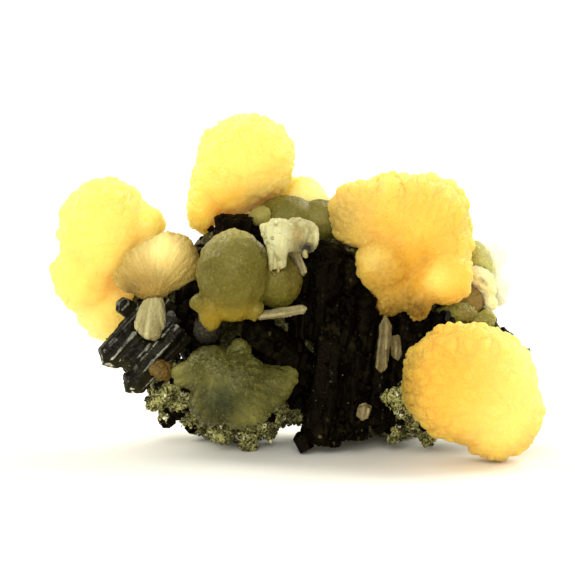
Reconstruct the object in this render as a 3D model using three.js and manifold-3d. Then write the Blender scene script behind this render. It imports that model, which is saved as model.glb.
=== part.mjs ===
// A hand specimen of stilbite and prehnite grown on epidote: honey-yellow stilbite balls and
// sheaves and olive prehnite balls sit in a dark mass of striated epidote prisms, which is held
// together by granular epidote. Millimetres, +Z up, +X along the specimen's length, +Y to its back.
// The origin is the bottom centre of the whole specimen, on the surface it rests on.

import * as THREE from "three";
import { ConvexGeometry } from "three/addons/geometries/ConvexGeometry.js";
import { mergeVertices } from "three/addons/utils/BufferGeometryUtils.js";
import Module from "manifold-3d";

const wasm = await Module();
wasm.setup();

// Driving dimensions, in millimetres.
const SEAT_GAP = 0.32; // clearance between a crystal group and the socket that it sits in
const FACET_EDGE = 3.2; // edge of the facets that make up a rounded lobe
const SMALL_FACET_EDGE = 2.2; // the same on a small lobe
const BOULDER_CORNERS = 15; // corners of each block of the granular mass
const GRAIN_SIZE = 3.0; // a typical grain on the granular mass
const GRAIN_COUNT = 5; // how many of them stand out
const TIP_SPACING = 3.6; // distance between crystal tips on a stilbite ball
const TIP_LIFT = 0.8; // how far those tips stand out
const CRUST_SPACING = 3.4; // distance between the swellings on a prehnite ball
const CRUST_LIFT = 0.3; // how far those swellings stand out
const TRIM_DEPTH = 12; // depth of the block that trims the underside flat

// A repeatable stream of numbers from 0 to 1.
function numbersFrom(seed) {
  let state = seed >>> 0;
  return () => {
    state = (state + 0x6d2b79f5) >>> 0;
    let t = Math.imul(state ^ (state >>> 15), 1 | state);
    t = (t + Math.imul(t ^ (t >>> 7), 61 | t)) ^ t;
    return ((t ^ (t >>> 14)) >>> 0) / 4294967296;
  };
}

// A closed three.js geometry as a solid.
function solidOf(geometry) {
  const bare = geometry.clone();
  bare.deleteAttribute("normal");
  bare.deleteAttribute("uv");
  const merged = mergeVertices(bare, 1e-4);
  return new wasm.Manifold(
    new wasm.Mesh({
      numProp: 3,
      vertProperties: new Float32Array(merged.attributes.position.array),
      triVerts: new Uint32Array(merged.index.array),
    }),
  );
}

function geometryOf(solid) {
  const mesh = solid.getMesh();
  const geometry = new THREE.BufferGeometry();
  geometry.setAttribute("position", new THREE.BufferAttribute(mesh.vertProperties, mesh.numProp));
  geometry.setIndex(new THREE.BufferAttribute(mesh.triVerts, 1));
  geometry.computeVertexNormals();
  return geometry;
}

const join = (solids) => solids.reduce((whole, solid) => whole.add(solid));

// The largest of the bodies that a cut leaves: the loose slivers are dropped.
function largestBody(geometry) {
  const index = geometry.index.array;
  const position = geometry.attributes.position;
  const leader = Array.from({ length: position.count }, (_, i) => i);
  const find = (i) => {
    while (leader[i] !== i) i = leader[i] = leader[leader[i]];
    return i;
  };
  for (let i = 0; i < index.length; i += 3) {
    leader[find(index[i + 1])] = find(index[i]);
    leader[find(index[i + 2])] = find(index[i]);
  }
  const volumes = new Map();
  const corners = [new THREE.Vector3(), new THREE.Vector3(), new THREE.Vector3()];
  for (let i = 0; i < index.length; i += 3) {
    corners.forEach((corner, k) => corner.fromBufferAttribute(position, index[i + k]));
    const share = corners[0].dot(corners[1].cross(corners[2])) / 6;
    const body = find(index[i]);
    volumes.set(body, (volumes.get(body) ?? 0) + share);
  }
  const [largest] = [...volumes].reduce((best, one) => (one[1] > best[1] ? one : best));
  const kept = [];
  for (let i = 0; i < index.length; i += 3)
    if (find(index[i]) === largest) kept.push(index[i], index[i + 1], index[i + 2]);
  geometry.setIndex(kept);
  return mergeVertices(geometry.toNonIndexed(), 1e-5);
}

// Directions spread evenly over a sphere, each moved a little off its place.
function spreadDirections(count, random) {
  const golden = Math.PI * (3 - Math.sqrt(5));
  return Array.from({ length: count }, (_, i) => {
    const z = 1 - (2 * (i + 0.5)) / count;
    const turn = i * golden;
    const flat = Math.sqrt(1 - z * z);
    const jitter = 1.1 / Math.sqrt(count);
    return new THREE.Vector3(
      flat * Math.cos(turn) + jitter * (random() - 0.5),
      flat * Math.sin(turn) + jitter * (random() - 0.5),
      z + jitter * (random() - 0.5),
    ).normalize();
  });
}

// An ellipsoid whose surface is crowded with rounded swellings, `spacing` apart and `lift` high.
function knobbly({ at, radii, turn = [0, 0, 0], seed = 1 }, { spacing, lift, edge }, grow = 0) {
  const random = numbersFrom(seed * 7919);
  const mean = Math.cbrt(radii[0] * radii[1] * radii[2]);
  const detail = mean < 0.6 * edge ? 0 : Math.max(1, Math.round((1.05 * mean) / edge - 1));
  const count = Math.max(8, Math.round((4 * Math.PI * mean * mean) / (spacing * spacing)));
  const swellings = spreadDirections(count, random).map((way) => ({
    way,
    height: lift * (0.35 + 0.65 * random()),
  }));
  const reach = (0.85 * spacing) / mean;
  const geometry = new THREE.IcosahedronGeometry(1, detail);
  const position = geometry.attributes.position;
  const way = new THREE.Vector3();
  for (let i = 0; i < position.count; i++) {
    way.fromBufferAttribute(position, i).normalize();
    let raised = 0;
    for (const swelling of swellings) {
      const away = way.angleTo(swelling.way) / reach;
      if (away < 1) raised = Math.max(raised, swelling.height * (1 - away * away));
    }
    const out = raised - 0.45 * lift + grow;
    position.setXYZ(i, way.x * (radii[0] + out), way.y * (radii[1] + out), way.z * (radii[2] + out));
  }
  geometry.rotateX(turn[0]).rotateY(turn[1]).rotateZ(turn[2]).translate(...at);
  return solidOf(geometry);
}

// A group of lobes grown into one another.
const lobed = (lobes, finish) => (grow) => join(lobes.map((lobe) => knobbly(lobe, finish, grow)));

const STILBITE_FINISH = { spacing: TIP_SPACING, lift: TIP_LIFT, edge: FACET_EDGE };
const SMALL_STILBITE_FINISH = { spacing: 2.2, lift: 0.4, edge: SMALL_FACET_EDGE };
const PREHNITE_FINISH = { spacing: CRUST_SPACING, lift: CRUST_LIFT, edge: FACET_EDGE };
const SMALL_PREHNITE_FINISH = { spacing: 2.2, lift: 0.2, edge: SMALL_FACET_EDGE };

// An epidote prism from its root to its tip: a flattened six-sided section, `width` across and
// `thickness` through, rolled about its length, with a chisel end `chisel` long (0 is a flat break).
function prism({ root, tip, width, thickness = 0.8 * width, roll = 0, chisel = 0.35 * width }, grow = 0) {
  const from = new THREE.Vector3(...root);
  const along = new THREE.Vector3(...tip).sub(from);
  const length = along.length();
  along.normalize();
  const guide = Math.abs(along.z) > 0.9 ? new THREE.Vector3(1, 0, 0) : new THREE.Vector3(0, 0, 1);
  const side = guide.cross(along).normalize().applyAxisAngle(along, roll);
  const front = new THREE.Vector3().crossVectors(along, side);
  const halfWidth = width / 2 + grow;
  const halfThickness = thickness / 2 + grow;
  const point = (s, f, l) =>
    from.clone().addScaledVector(side, s).addScaledVector(front, f).addScaledVector(along, l);
  const section = [
    [1, 0.18], [0.55, 1], [-0.62, 1], [-1, -0.12], [-0.5, -1], [0.66, -1],
  ];
  const points = [];
  for (const [s, f] of section) {
    points.push(point(s * halfWidth, f * halfThickness, -grow));
    points.push(point(s * halfWidth, f * halfThickness, length - chisel + grow));
  }
  if (chisel > 0)
    for (const s of [-0.45, 0.5])
      points.push(point(s * halfWidth, 0.15 * s * halfThickness, length + grow));
  return solidOf(new ConvexGeometry(points));
}

const prisms = (list) => (grow) => join(list.map((one) => prism(one, grow)));

// An angular block of granular rock: flat breaks between corners that lie near an ellipsoid.
function boulder({ at, radii, seed }) {
  const random = numbersFrom(seed * 104729);
  const corners = spreadDirections(BOULDER_CORNERS, random).map((way) => {
    const out = 0.98 + 0.16 * random();
    return new THREE.Vector3(way.x * radii[0] * out, way.y * radii[1] * out, way.z * radii[2] * out);
  });
  return solidOf(new ConvexGeometry(corners).translate(...at));
}

// A blunt chip of crystal: a box whose sides lean in and out.
function grain(at, size, random) {
  const points = [];
  for (const x of [-1, 1])
    for (const y of [-1, 1])
      for (const z of [-1, 1])
        points.push(new THREE.Vector3(x * (0.55 + 0.45 * random()), y, z * (0.6 + 0.4 * random())));
  const geometry = new ConvexGeometry(points);
  geometry.scale(0.5 * size * (0.7 + 0.5 * random()), 0.5 * size * (0.7 + 0.5 * random()), 0.5 * size);
  geometry.rotateX(6.28 * random()).rotateY(6.28 * random()).rotateZ(6.28 * random());
  geometry.translate(...at);
  return solidOf(geometry);
}

// Stilbite, honey yellow: balls and bow-tie sheaves of radiating blades.

const ballLeft = lobed(
  [
    { at: [-29.6, 9, 34.2], radii: [7.6, 7.0, 8.8], seed: 1 },
    { at: [-32.4, 10, 26.6], radii: [5.8, 6.2, 6.4], seed: 2 },
    { at: [-29.0, 11, 21.6], radii: [6.0, 5.6, 6.0], seed: 3 },
    { at: [-22.9, 7.5, 35.2], radii: [3.4, 3.4, 3.5], seed: 4 },
  ],
  STILBITE_FINISH,
);

const sheafLeft = lobed(
  [
    { at: [-19.0, 1.2, 30.1], radii: [5.3, 4.9, 4.9], seed: 5 },
    { at: [-22.4, 1.0, 29.0], radii: [4.3, 4.4, 4.1], seed: 6 },
    { at: [-25.2, 1.4, 27.4], radii: [2.6, 3.1, 2.5], seed: 7 },
    { at: [-21.8, -0.4, 26.4], radii: [3.4, 3.0, 2.4], seed: 23 },
  ],
  { spacing: 2.6, lift: 0.45, edge: 2.2 },
);

const stemLeft = prisms([
  { root: [-21.6, -1.8, 26.0], tip: [-23.9, -3.4, 19.6], width: 2.8, thickness: 1.9, chisel: 0 },
  { root: [-21.3, -1.8, 26.0], tip: [-22.4, -3.8, 18.2], width: 3.2, thickness: 1.9, chisel: 0 },
  { root: [-21.0, -1.8, 26.0], tip: [-20.9, -3.8, 18.3], width: 3.2, thickness: 1.9, chisel: 0 },
  { root: [-20.8, -1.8, 26.0], tip: [-20.1, -3.2, 20.4], width: 2.8, thickness: 1.9, chisel: 0 },
]);

const ballTop = lobed(
  [
    { at: [-6.7, 8, 45.8], radii: [8.1, 7.4, 7.5], seed: 9 },
    { at: [-8.8, 8, 42.2], radii: [7.0, 6.4, 5.5], seed: 10 },
    { at: [-13.7, 7.2, 38.2], radii: [2.7, 3.6, 4.8], seed: 11 },
  ],
  STILBITE_FINISH,
);

const ballTopSmall = lobed([{ at: [2.5, 12, 38.4], radii: [4.4, 4.2, 4.6], seed: 12 }], STILBITE_FINISH);

const ballRight = lobed(
  [
    { at: [11.4, -0.2, 38.2], radii: [4.8, 4.8, 5.5], seed: 13 },
    { at: [17.0, 0.4, 38.4], radii: [6.8, 6.2, 6.3], seed: 22 },
    { at: [21.8, 0.6, 36.8], radii: [7.6, 7.0, 7.5], seed: 14 },
    { at: [19.4, -0.8, 32.2], radii: [6.4, 4.8, 5.4], seed: 27 },
    { at: [14.8, -4.2, 30.1], radii: [4.2, 4.0, 4.2], seed: 15 },
    { at: [25.1, -3.9, 28.5], radii: [4.7, 4.6, 4.7], seed: 16 },
    { at: [24.4, -1.0, 32.8], radii: [5.2, 5.0, 4.6], seed: 92 },
    { at: [16.2, -3.0, 25.6], radii: [2.9, 2.8, 4.0], seed: 17 },
    { at: [20.9, -4.2, 25.0], radii: [1.9, 1.8, 3.3], seed: 18 },
    { at: [20.9, -4.3, 22.9], radii: [2.0, 1.6, 1.9], seed: 93 },
  ],
  STILBITE_FINISH,
);

const ballFront = lobed(
  [
    { at: [28.7, -12, 12.6], radii: [11.0, 8.8, 9.8], seed: 19 },
    { at: [32.8, -12, 8.1], radii: [7.9, 6.9, 8.0], seed: 20 },
  ],
  STILBITE_FINISH,
);

const ballBack = lobed(
  [
    { at: [21.6, 13.0, 15.4], radii: [4.6, 4.2, 4.4], seed: 74 },
    { at: [25.8, 12.2, 12.4], radii: [3.2, 3.2, 3.0], seed: 75 },
  ],
  STILBITE_FINISH,
);

const budLeft = lobed([{ at: [-19.9, -5.6, 13.5], radii: [1.9, 1.5, 1.6], seed: 21 }], SMALL_STILBITE_FINISH);

// Stilbite, cream: small sheaves and blunt blades.

const sheafTopBlades = prisms([
  { root: [-1.6, -9.2, 31.2], tip: [-3.2, -9.6, 37.6], width: 1.9, thickness: 2.2, chisel: 0 },
  { root: [-1.6, -9.2, 30.6], tip: [-1.4, -9.8, 38.2], width: 2.2, thickness: 2.8, chisel: 0 },
  { root: [0.3, -8.6, 33.2], tip: [0.2, -9.0, 37.6], width: 2.0, thickness: 2.6, chisel: 0 },
]);
const sheafTopEnd = lobed(
  [
    { at: [2.5, -8.2, 35.2], radii: [2.5, 2.0, 2.7], seed: 94 },
    { at: [1.3, -8.3, 36.0], radii: [1.9, 1.9, 2.2], seed: 95 },
  ],
  STILBITE_FINISH,
);
const sheafTop = (grow) => join([sheafTopBlades(grow), sheafTopEnd(grow)]);

const bladeUnderBall = prisms([
  { root: [-4.6, -9.2, 22.9], tip: [0.6, -9.0, 23.5], width: 1.3, thickness: 1.2, chisel: 0.2 },
  { root: [-1.2, -9.1, 23.4], tip: [3.0, -8.8, 24.0], width: 1.3, thickness: 1.1, chisel: 0.6 },
]);

const bladeTall = prisms([
  { root: [15.5, -6.5, 17.4], tip: [15.5, -6.7, 22.4], width: 2.4, thickness: 1.7, chisel: 1.6 },
  { root: [15.3, -6.5, 18.6], tip: [14.8, -6.9, 13.6], width: 2.2, thickness: 1.6, chisel: 0.7 },
]);

const bladeShort = prisms([
  { root: [17.0, -5.0, 18.9], tip: [17.5, -5.2, 15.2], width: 1.7, thickness: 1.5, chisel: 0.8 },
]);

const bladeLow = prisms([
  { root: [12.2, -6.4, 7.4], tip: [11.9, -8.6, 7.1], width: 2.4, thickness: 1.7, chisel: 0.4, roll: 1.3 },
]);

const bladesBesideBall = prisms([
  { root: [0.9, -5.4, 33.2], tip: [2.6, -5.6, 28.8], width: 1.6, thickness: 1.2, chisel: 0.6 },
]);

const sheafRight = lobed(
  [
    { at: [31.4, 4.6, 26.4], radii: [3.2, 2.1, 1.9], turn: [0, 0.85, 0], seed: 26 },
    { at: [32.6, 4.6, 23.0], radii: [1.2, 1.2, 1.6], seed: 25 },
  ],
  SMALL_STILBITE_FINISH,
);

const ballRearRight = lobed(
  [
    { at: [33.5, 9.0, 30.2], radii: [2.1, 2.4, 2.7], seed: 28 },
    { at: [34.6, 8.8, 25.6], radii: [1.6, 2.2, 3.6], seed: 29 },
  ],
  SMALL_STILBITE_FINISH,
);

const patchRight = lobed([{ at: [29.3, 3.4, 23.4], radii: [2.8, 2.2, 2.9], seed: 30 }], SMALL_STILBITE_FINISH);

// Prehnite, olive green: smooth balls and crusts.

const prehniteMain = lobed(
  [
    { at: [-8.5, -8.0, 29.4], radii: [5.9, 5.7, 7.2], seed: 31 },
    { at: [-1.7, -5.6, 28.1], radii: [4.1, 4.0, 4.5], seed: 32 },
    { at: [-14.0, -9.4, 25.0], radii: [1.6, 1.6, 1.5], seed: 33 },
    { at: [-12.0, -10.0, 23.6], radii: [1.8, 1.7, 3.0], seed: 34 },
    { at: [-5.2, -9.4, 23.8], radii: [1.7, 1.7, 1.9], seed: 35 },
    { at: [-8.6, -9.4, 24.4], radii: [3.8, 2.5, 2.4], seed: 36 },
  ],
  PREHNITE_FINISH,
);

const prehniteLow = lobed(
  [
    { at: [-8.0, -8.4, 11.3], radii: [6.1, 4.4, 5.5], seed: 41 },
    { at: [-11.9, -8.0, 14.1], radii: [4.4, 3.6, 3.9], seed: 42 },
    { at: [-11.6, -8.6, 9.3], radii: [3.9, 3.6, 3.9], seed: 46 },
    { at: [-3.2, -7.6, 11.4], radii: [4.0, 3.4, 3.4], seed: 44 },
    { at: [-0.1, -7.0, 12.6], radii: [2.0, 1.9, 1.8], seed: 47 },
    { at: [-16.0, -7.4, 13.0], radii: [2.2, 2.1, 2.0], seed: 43 },
    { at: [-7.4, -7.4, 16.4], radii: [1.8, 1.8, 2.7], seed: 45 },
    { at: [-6.6, -8.4, 7.6], radii: [4.2, 3.4, 2.6], seed: 48 },
  ],
  PREHNITE_FINISH,
);

const prehniteTop = lobed(
  [
    { at: [-0.2, 3.9, 37.0], radii: [5.0, 3.7, 3.5], seed: 51 },
    { at: [5.2, 4.4, 36.4], radii: [4.2, 3.6, 3.4], seed: 52 },
  ],
  PREHNITE_FINISH,
);

const prehniteGrey = lobed([{ at: [-12.7, -5.4, 20.2], radii: [2.3, 1.8, 2.5], seed: 59 }], SMALL_PREHNITE_FINISH);

const prehniteKnob = lobed([{ at: [-4.0, 1.6, 37.3], radii: [2.2, 1.7, 1.7], seed: 53 }], SMALL_PREHNITE_FINISH);

const prehniteRight = lobed(
  [
    { at: [27.2, 1.2, 21.9], radii: [3.2, 2.2, 1.8], seed: 54 },
    { at: [31.3, 2.8, 20.5], radii: [2.3, 2.0, 2.0], seed: 55 },
  ],
  SMALL_PREHNITE_FINISH,
);

const prehniteLens = lobed([{ at: [31.0, 7.0, 29.8], radii: [1.9, 2.3, 3.3], turn: [0, -0.42, 0], seed: 56 }], SMALL_PREHNITE_FINISH);

const prehniteBack = lobed(
  [
    { at: [5.0, 15.6, 22.0], radii: [5.4, 5.2, 5.2], seed: 57 },
    { at: [11.2, 15.0, 18.8], radii: [3.6, 3.6, 3.6], seed: 58 },
  ],
  PREHNITE_FINISH,
);

// Epidote, nearly black: stout prisms with flat faces.

const prismsLeft = prisms([
  { root: [-19.6, 1.8, 24.0], tip: [-29.4, -2.8, 14.1], width: 4.6, thickness: 4.4, roll: 0.25, chisel: 1.4 },
  { root: [-18.2, 0.4, 21.4], tip: [-26.0, -3.4, 13.4], width: 3.6, thickness: 3.4, roll: 0.5, chisel: 0.9 },
  { root: [-17.0, -0.6, 19.2], tip: [-25.7, -4.2, 9.9], width: 3.9, thickness: 3.6, roll: 0.15, chisel: 1.7 },
  { root: [-20.0, 3.2, 18.2], tip: [-27.0, -0.8, 23.8], width: 2.4, thickness: 2.4, chisel: 0.6 },
]);

const prismsTop = prisms([
  { root: [-8.2, 2.6, 25.0], tip: [-8.2, 2.2, 37.2], width: 7.2, thickness: 5.0, roll: 1.57, chisel: 0 },
  { root: [-4.3, 1.6, 27.0], tip: [-4.0, 1.2, 36.4], width: 2.8, thickness: 3.0, roll: 0.4, chisel: 0.7 },
]);

const prismsUpper = prisms([
  { root: [5.6, -0.6, 18.0], tip: [6.0, -0.8, 33.6], width: 7.4, thickness: 5.6, roll: 0.5, chisel: 1.4 },
  { root: [10.0, -0.2, 18.0], tip: [10.3, -0.4, 31.2], width: 4.2, thickness: 4.6, roll: 0.2, chisel: 1.0 },
  { root: [2.4, -1.8, 18.4], tip: [3.0, -2.0, 30.2], width: 3.8, thickness: 3.6, roll: 0.9, chisel: 0.8 },
]);

const prismsCentre = prisms([
  { root: [5.0, -4.4, 1.7], tip: [8.6, -3.0, 23.0], width: 6.6, thickness: 6.0, roll: 0.1, chisel: 1.8 },
  { root: [9.8, -4.2, 2.6], tip: [12.4, -2.6, 26.4], width: 5.8, thickness: 5.4, roll: -0.2, chisel: 2.0 },
  { root: [14.2, -3.4, 4.6], tip: [14.6, -2.4, 22.6], width: 4.4, thickness: 5.2, roll: 0.3, chisel: 1.2 },
]);

const prismCross = prisms([
  { root: [7.0, -2.0, 10.0], tip: [-6.6, -3.6, 20.6], width: 6.8, thickness: 5.0, roll: 0.2, chisel: 1.4 },
  { root: [2.4, -2.6, 8.0], tip: [-2.6, -5.0, 17.2], width: 4.0, thickness: 3.6, roll: 0.4, chisel: 1.0 },
]);

const prismsShoulder = prisms([
  { root: [-16.0, 1.6, 18.6], tip: [-15.4, 0.6, 27.6], width: 5.0, thickness: 4.0, roll: 0.3, chisel: 1.4 },
  { root: [-13.0, -2.0, 15.6], tip: [-12.8, -3.6, 23.4], width: 3.6, thickness: 3.2, roll: 0.8, chisel: 1.0 },
  { root: [-13.4, 1.0, 14.0], tip: [-13.6, 0.4, 24.4], width: 3.4, thickness: 3.6, roll: 0.1, chisel: 1.0 },
]);

const prismsRight = prisms([
  { root: [18.0, -2.4, 9.0], tip: [20.0, -1.8, 22.6], width: 5.2, thickness: 5.0, roll: 0.3, chisel: 1.2 },
  { root: [21.4, -1.4, 10.5], tip: [24.6, -0.8, 22.0], width: 5.0, thickness: 4.4, roll: 0.6, chisel: 1.2 },
]);

const prismsBack = prisms([
  { root: [-8.0, 10.0, 10.0], tip: [-13.6, 19.0, 25.0], width: 5.2, thickness: 4.4, roll: 0.4, chisel: 1.6 },
  { root: [-11.0, 9.0, 9.0], tip: [-19.0, 17.2, 17.6], width: 4.2, thickness: 3.6, roll: 0.2, chisel: 1.3 },
  { root: [-6.0, 10.0, 11.0], tip: [-6.4, 18.4, 22.4], width: 3.8, thickness: 3.6, roll: 0.7, chisel: 1.1 },
]);

// The granular epidote that carries everything, with small crystals grown out of it.

const MATRIX_BLOCKS = [
  { at: [4, 5, 15], radii: [21.5, 9.5, 12.4], seed: 61 },
  { at: [-7.2, 1.5, 7.4], radii: [9.8, 7.4, 6.5], seed: 62 },
  { at: [-15.5, 2.5, 10.8], radii: [8.0, 6.4, 6.6], seed: 63 },
  { at: [-19.6, 7.6, 20.0], radii: [6.6, 5.6, 7.6], seed: 64 },
  { at: [21, 2.5, 8.8], radii: [13.8, 8.4, 7.8], seed: 65 },
  { at: [9, 5.5, 27.0], radii: [14.2, 6.8, 8.4], seed: 66 },
  { at: [-9, 4.6, 27.0], radii: [8.6, 6.9, 9.6], seed: 67 },
  { at: [23, 6.5, 20.6], radii: [12.2, 6.6, 8.6], seed: 68 },
  { at: [32, 4.5, 13.5], radii: [6.8, 6.4, 6.4], seed: 69 },
  { at: [-9.5, 11, 6.4], radii: [9.0, 7.0, 7.0], seed: 70 },
  { at: [14, 11, 5.5], radii: [11.0, 7.0, 7.0], seed: 71 },
  { at: [2, 12.5, 22], radii: [9.0, 5.4, 7.0], seed: 73 },
];

// A hollow that runs through the mass behind the left prisms.
const CAVITY = { at: [-16.6, 7, 15.6], radii: [2.4, 16, 2.6], turn: [-0.14, 0, 0], seed: 72 };

// Small crystals that stand out of the granular mass, along its lower front edge.
const MATRIX_PRISMS = [
  { root: [-16.0, -1.5, 12.5], tip: [-22.6, -4.2, 7.0], width: 2.9, roll: 0.3 },
  { root: [-15.0, -2.0, 9.0], tip: [-20.6, -4.0, 5.0], width: 2.6, roll: 0.8 },
  { root: [-13.0, -2.0, 7.0], tip: [-16.8, -4.6, 4.4], width: 2.3, roll: 0.2 },
  { root: [-9.0, -1.0, 5.0], tip: [-10.6, -5.4, 1.8], width: 2.6, roll: 0.5 },
  { root: [-7.0, 0.0, 5.0], tip: [-6.0, -3.4, -0.6], width: 3.2, roll: 0.1 },
  { root: [17.0, 0.0, 6.0], tip: [17.0, -4.4, 1.6], width: 2.4, roll: 0.5 },
  { root: [22.0, 1.0, 6.0], tip: [22.6, -3.0, 0.8], width: 2.8, roll: 0.7 },
  { root: [32.6, 4.0, 14.0], tip: [36.4, 4.8, 17.9], width: 2.4, roll: 0.3 },
  { root: [33.6, 4.0, 11.6], tip: [38.9, 4.8, 15.4], width: 2.0, roll: 0.9 },
];

function matrixSolid() {
  const random = numbersFrom(4242);
  const blocks = MATRIX_BLOCKS.map(boulder);
  const spurs = MATRIX_PRISMS.map((spur) => prism(spur));
  const grains = Array.from({ length: GRAIN_COUNT }, () => {
    const block = MATRIX_BLOCKS[1 + Math.floor(random() * (MATRIX_BLOCKS.length - 1))];
    const way = new THREE.Vector3(random() - 0.5, random() - 0.62, random() - 0.5).normalize();
    const spot = block.at.map((centre, axis) => centre + 0.97 * block.radii[axis] * way.getComponent(axis));
    return grain(spot, GRAIN_SIZE * (0.7 + 0.7 * random()), random);
  });
  const trim = new THREE.BoxGeometry(200, 200, TRIM_DEPTH).translate(0, 0, -TRIM_DEPTH / 2);
  return join([...blocks, ...spurs, ...grains]).subtract(boulder(CAVITY)).subtract(solidOf(trim));
}

// Finishes.
const honey = new THREE.MeshStandardMaterial({ color: 0xf5c94f, roughness: 0.45, metalness: 0 });
const cream = new THREE.MeshStandardMaterial({ color: 0xe6dcb8, roughness: 0.4, metalness: 0 });
const olive = new THREE.MeshStandardMaterial({ color: 0x8a8442, roughness: 0.35, metalness: 0 });
const black = new THREE.MeshStandardMaterial({ color: 0x1d1a12, roughness: 0.25, metalness: 0 });
const crumbly = new THREE.MeshStandardMaterial({ color: 0x5a5530, roughness: 0.75, metalness: 0 });

// Every piece in the order in which it takes its room: a later piece is cut to fit the earlier ones.
const PIECES = [
  ["stilbite_ball_left", honey, ballLeft],
  ["stilbite_sheaf_left", honey, sheafLeft],
  ["stilbite_stem_left", cream, stemLeft],
  ["stilbite_ball_top", honey, ballTop],
  ["stilbite_ball_right", honey, ballRight],
  ["stilbite_ball_front", honey, ballFront],
  ["stilbite_sheaf_top", cream, sheafTop],
  ["stilbite_blade_under_ball", cream, bladeUnderBall],
  ["stilbite_blade_tall", cream, bladeTall],
  ["stilbite_blade_short", cream, bladeShort],
  ["stilbite_blade_low", cream, bladeLow],
  ["stilbite_blade_beside_ball", cream, bladesBesideBall],
  ["stilbite_bud_left", honey, budLeft],
  ["stilbite_sheaf_right", cream, sheafRight],
  ["stilbite_patch_right", honey, patchRight],
  ["stilbite_ball_rear_right", honey, ballRearRight],
  ["stilbite_ball_top_small", honey, ballTopSmall],
  ["stilbite_ball_back", honey, ballBack],
  ["prehnite_ball_main", olive, prehniteMain],
  ["prehnite_ball_low", olive, prehniteLow],
  ["prehnite_crust_top", olive, prehniteTop],
  ["prehnite_knob_top", olive, prehniteKnob],
  ["prehnite_lump_grey", olive, prehniteGrey],
  ["prehnite_crust_right", olive, prehniteRight],
  ["prehnite_lens_right", olive, prehniteLens],
  ["prehnite_ball_back", olive, prehniteBack],
  ["epidote_prisms_left", black, prismsLeft],
  ["epidote_prisms_top", black, prismsTop],
  ["epidote_prisms_upper", black, prismsUpper],
  ["epidote_prisms_centre", black, prismsCentre],
  ["epidote_prism_cross", black, prismCross],
  ["epidote_prisms_shoulder", black, prismsShoulder],
  ["epidote_prisms_right", black, prismsRight],
  ["epidote_prisms_back", black, prismsBack],
  ["epidote_matrix", crumbly, matrixSolid],
];

const specimen = new THREE.Group();
const taken = [];
for (const [name, material, build] of PIECES) {
  const fitted = taken.reduce((solid, seat) => solid.subtract(seat), build(0));
  taken.push(build(SEAT_GAP));
  const mesh = new THREE.Mesh(largestBody(geometryOf(fitted)), material);
  mesh.name = name;
  specimen.add(mesh);
}

// The origin goes to the bottom centre of the whole specimen.
const bounds = new THREE.Box3().setFromObject(specimen);
const centre = bounds.getCenter(new THREE.Vector3());
specimen.position.set(-centre.x, -centre.y, -bounds.min.z);

export default specimen;
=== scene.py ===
"""A hand specimen of stilbite and prehnite on epidote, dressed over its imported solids.

Every crystal group is grown over the solid of its own node: the solid gives the form, and the
class of the mineral gives the fine relief that such crystals have. All sizes are in millimetres
unless a name ends in _m; Blender's own objects are in metres.
"""

import logging
import math
from dataclasses import dataclass, field
from enum import Enum
from functools import partial
from typing import Iterable, Iterator, Optional, Sequence, Union

import bpy
import numpy as np
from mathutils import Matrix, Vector


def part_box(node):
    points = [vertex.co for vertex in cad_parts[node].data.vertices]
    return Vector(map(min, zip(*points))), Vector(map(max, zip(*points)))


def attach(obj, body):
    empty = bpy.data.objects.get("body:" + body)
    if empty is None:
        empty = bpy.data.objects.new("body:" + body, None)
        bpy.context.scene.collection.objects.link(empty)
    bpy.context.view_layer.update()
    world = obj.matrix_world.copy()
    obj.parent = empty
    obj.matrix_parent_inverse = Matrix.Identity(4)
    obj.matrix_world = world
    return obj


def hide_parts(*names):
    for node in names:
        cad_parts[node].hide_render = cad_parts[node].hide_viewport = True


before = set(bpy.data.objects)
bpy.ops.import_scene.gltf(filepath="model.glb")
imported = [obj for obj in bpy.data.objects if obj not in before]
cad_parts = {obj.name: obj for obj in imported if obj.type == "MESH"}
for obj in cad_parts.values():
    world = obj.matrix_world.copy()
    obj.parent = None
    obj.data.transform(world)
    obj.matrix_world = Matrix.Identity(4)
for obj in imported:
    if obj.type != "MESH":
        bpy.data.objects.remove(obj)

MM = 0.001
BODY = "root"

AXIS_FACTORS = (0x9E3779B1, 0x85EBCA77, 0xC2B2AE3D)
SEED_FACTOR = 0x27D4EB2F
STIRRERS = ((15, 0x2C1B3C6D), (12, 0x297A2D39))
LAST_SHIFT = 15
ADVANCE = 0x9E3779B9
WORD_MASK = 0xFFFFFFFF
WORDS = 2.0**32

DRAWS = 4
OCTAVES = 2
OCTAVE_STRENGTH = 0.5
OCTAVE_SEEDS = 31
NOISE_GAIN = 1.4
MEAN_PILLOW = 0.6
MEAN_TAG = 0.5
TINY = 1e-6
AREA_FLOOR = 1e-9

Colour = tuple[float, float, float]
Point = tuple[float, float, float]
Range = tuple[float, float]
Fed = Union[bpy.types.NodeSocket, float, Colour]
Draws = np.random.Generator

log = logging.getLogger("specimen")


# ---- Numbers and repeatable noise ----


def between(limits: Range, share: float) -> float:
    """Give the number that lies at a share of the way from one limit to the other."""
    return limits[0] + (limits[1] - limits[0]) * share


def eased(part: np.ndarray) -> np.ndarray:
    """Bend a run from 0 to 1 so that it starts and ends gently."""
    return part * part * (3 - 2 * part)


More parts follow.
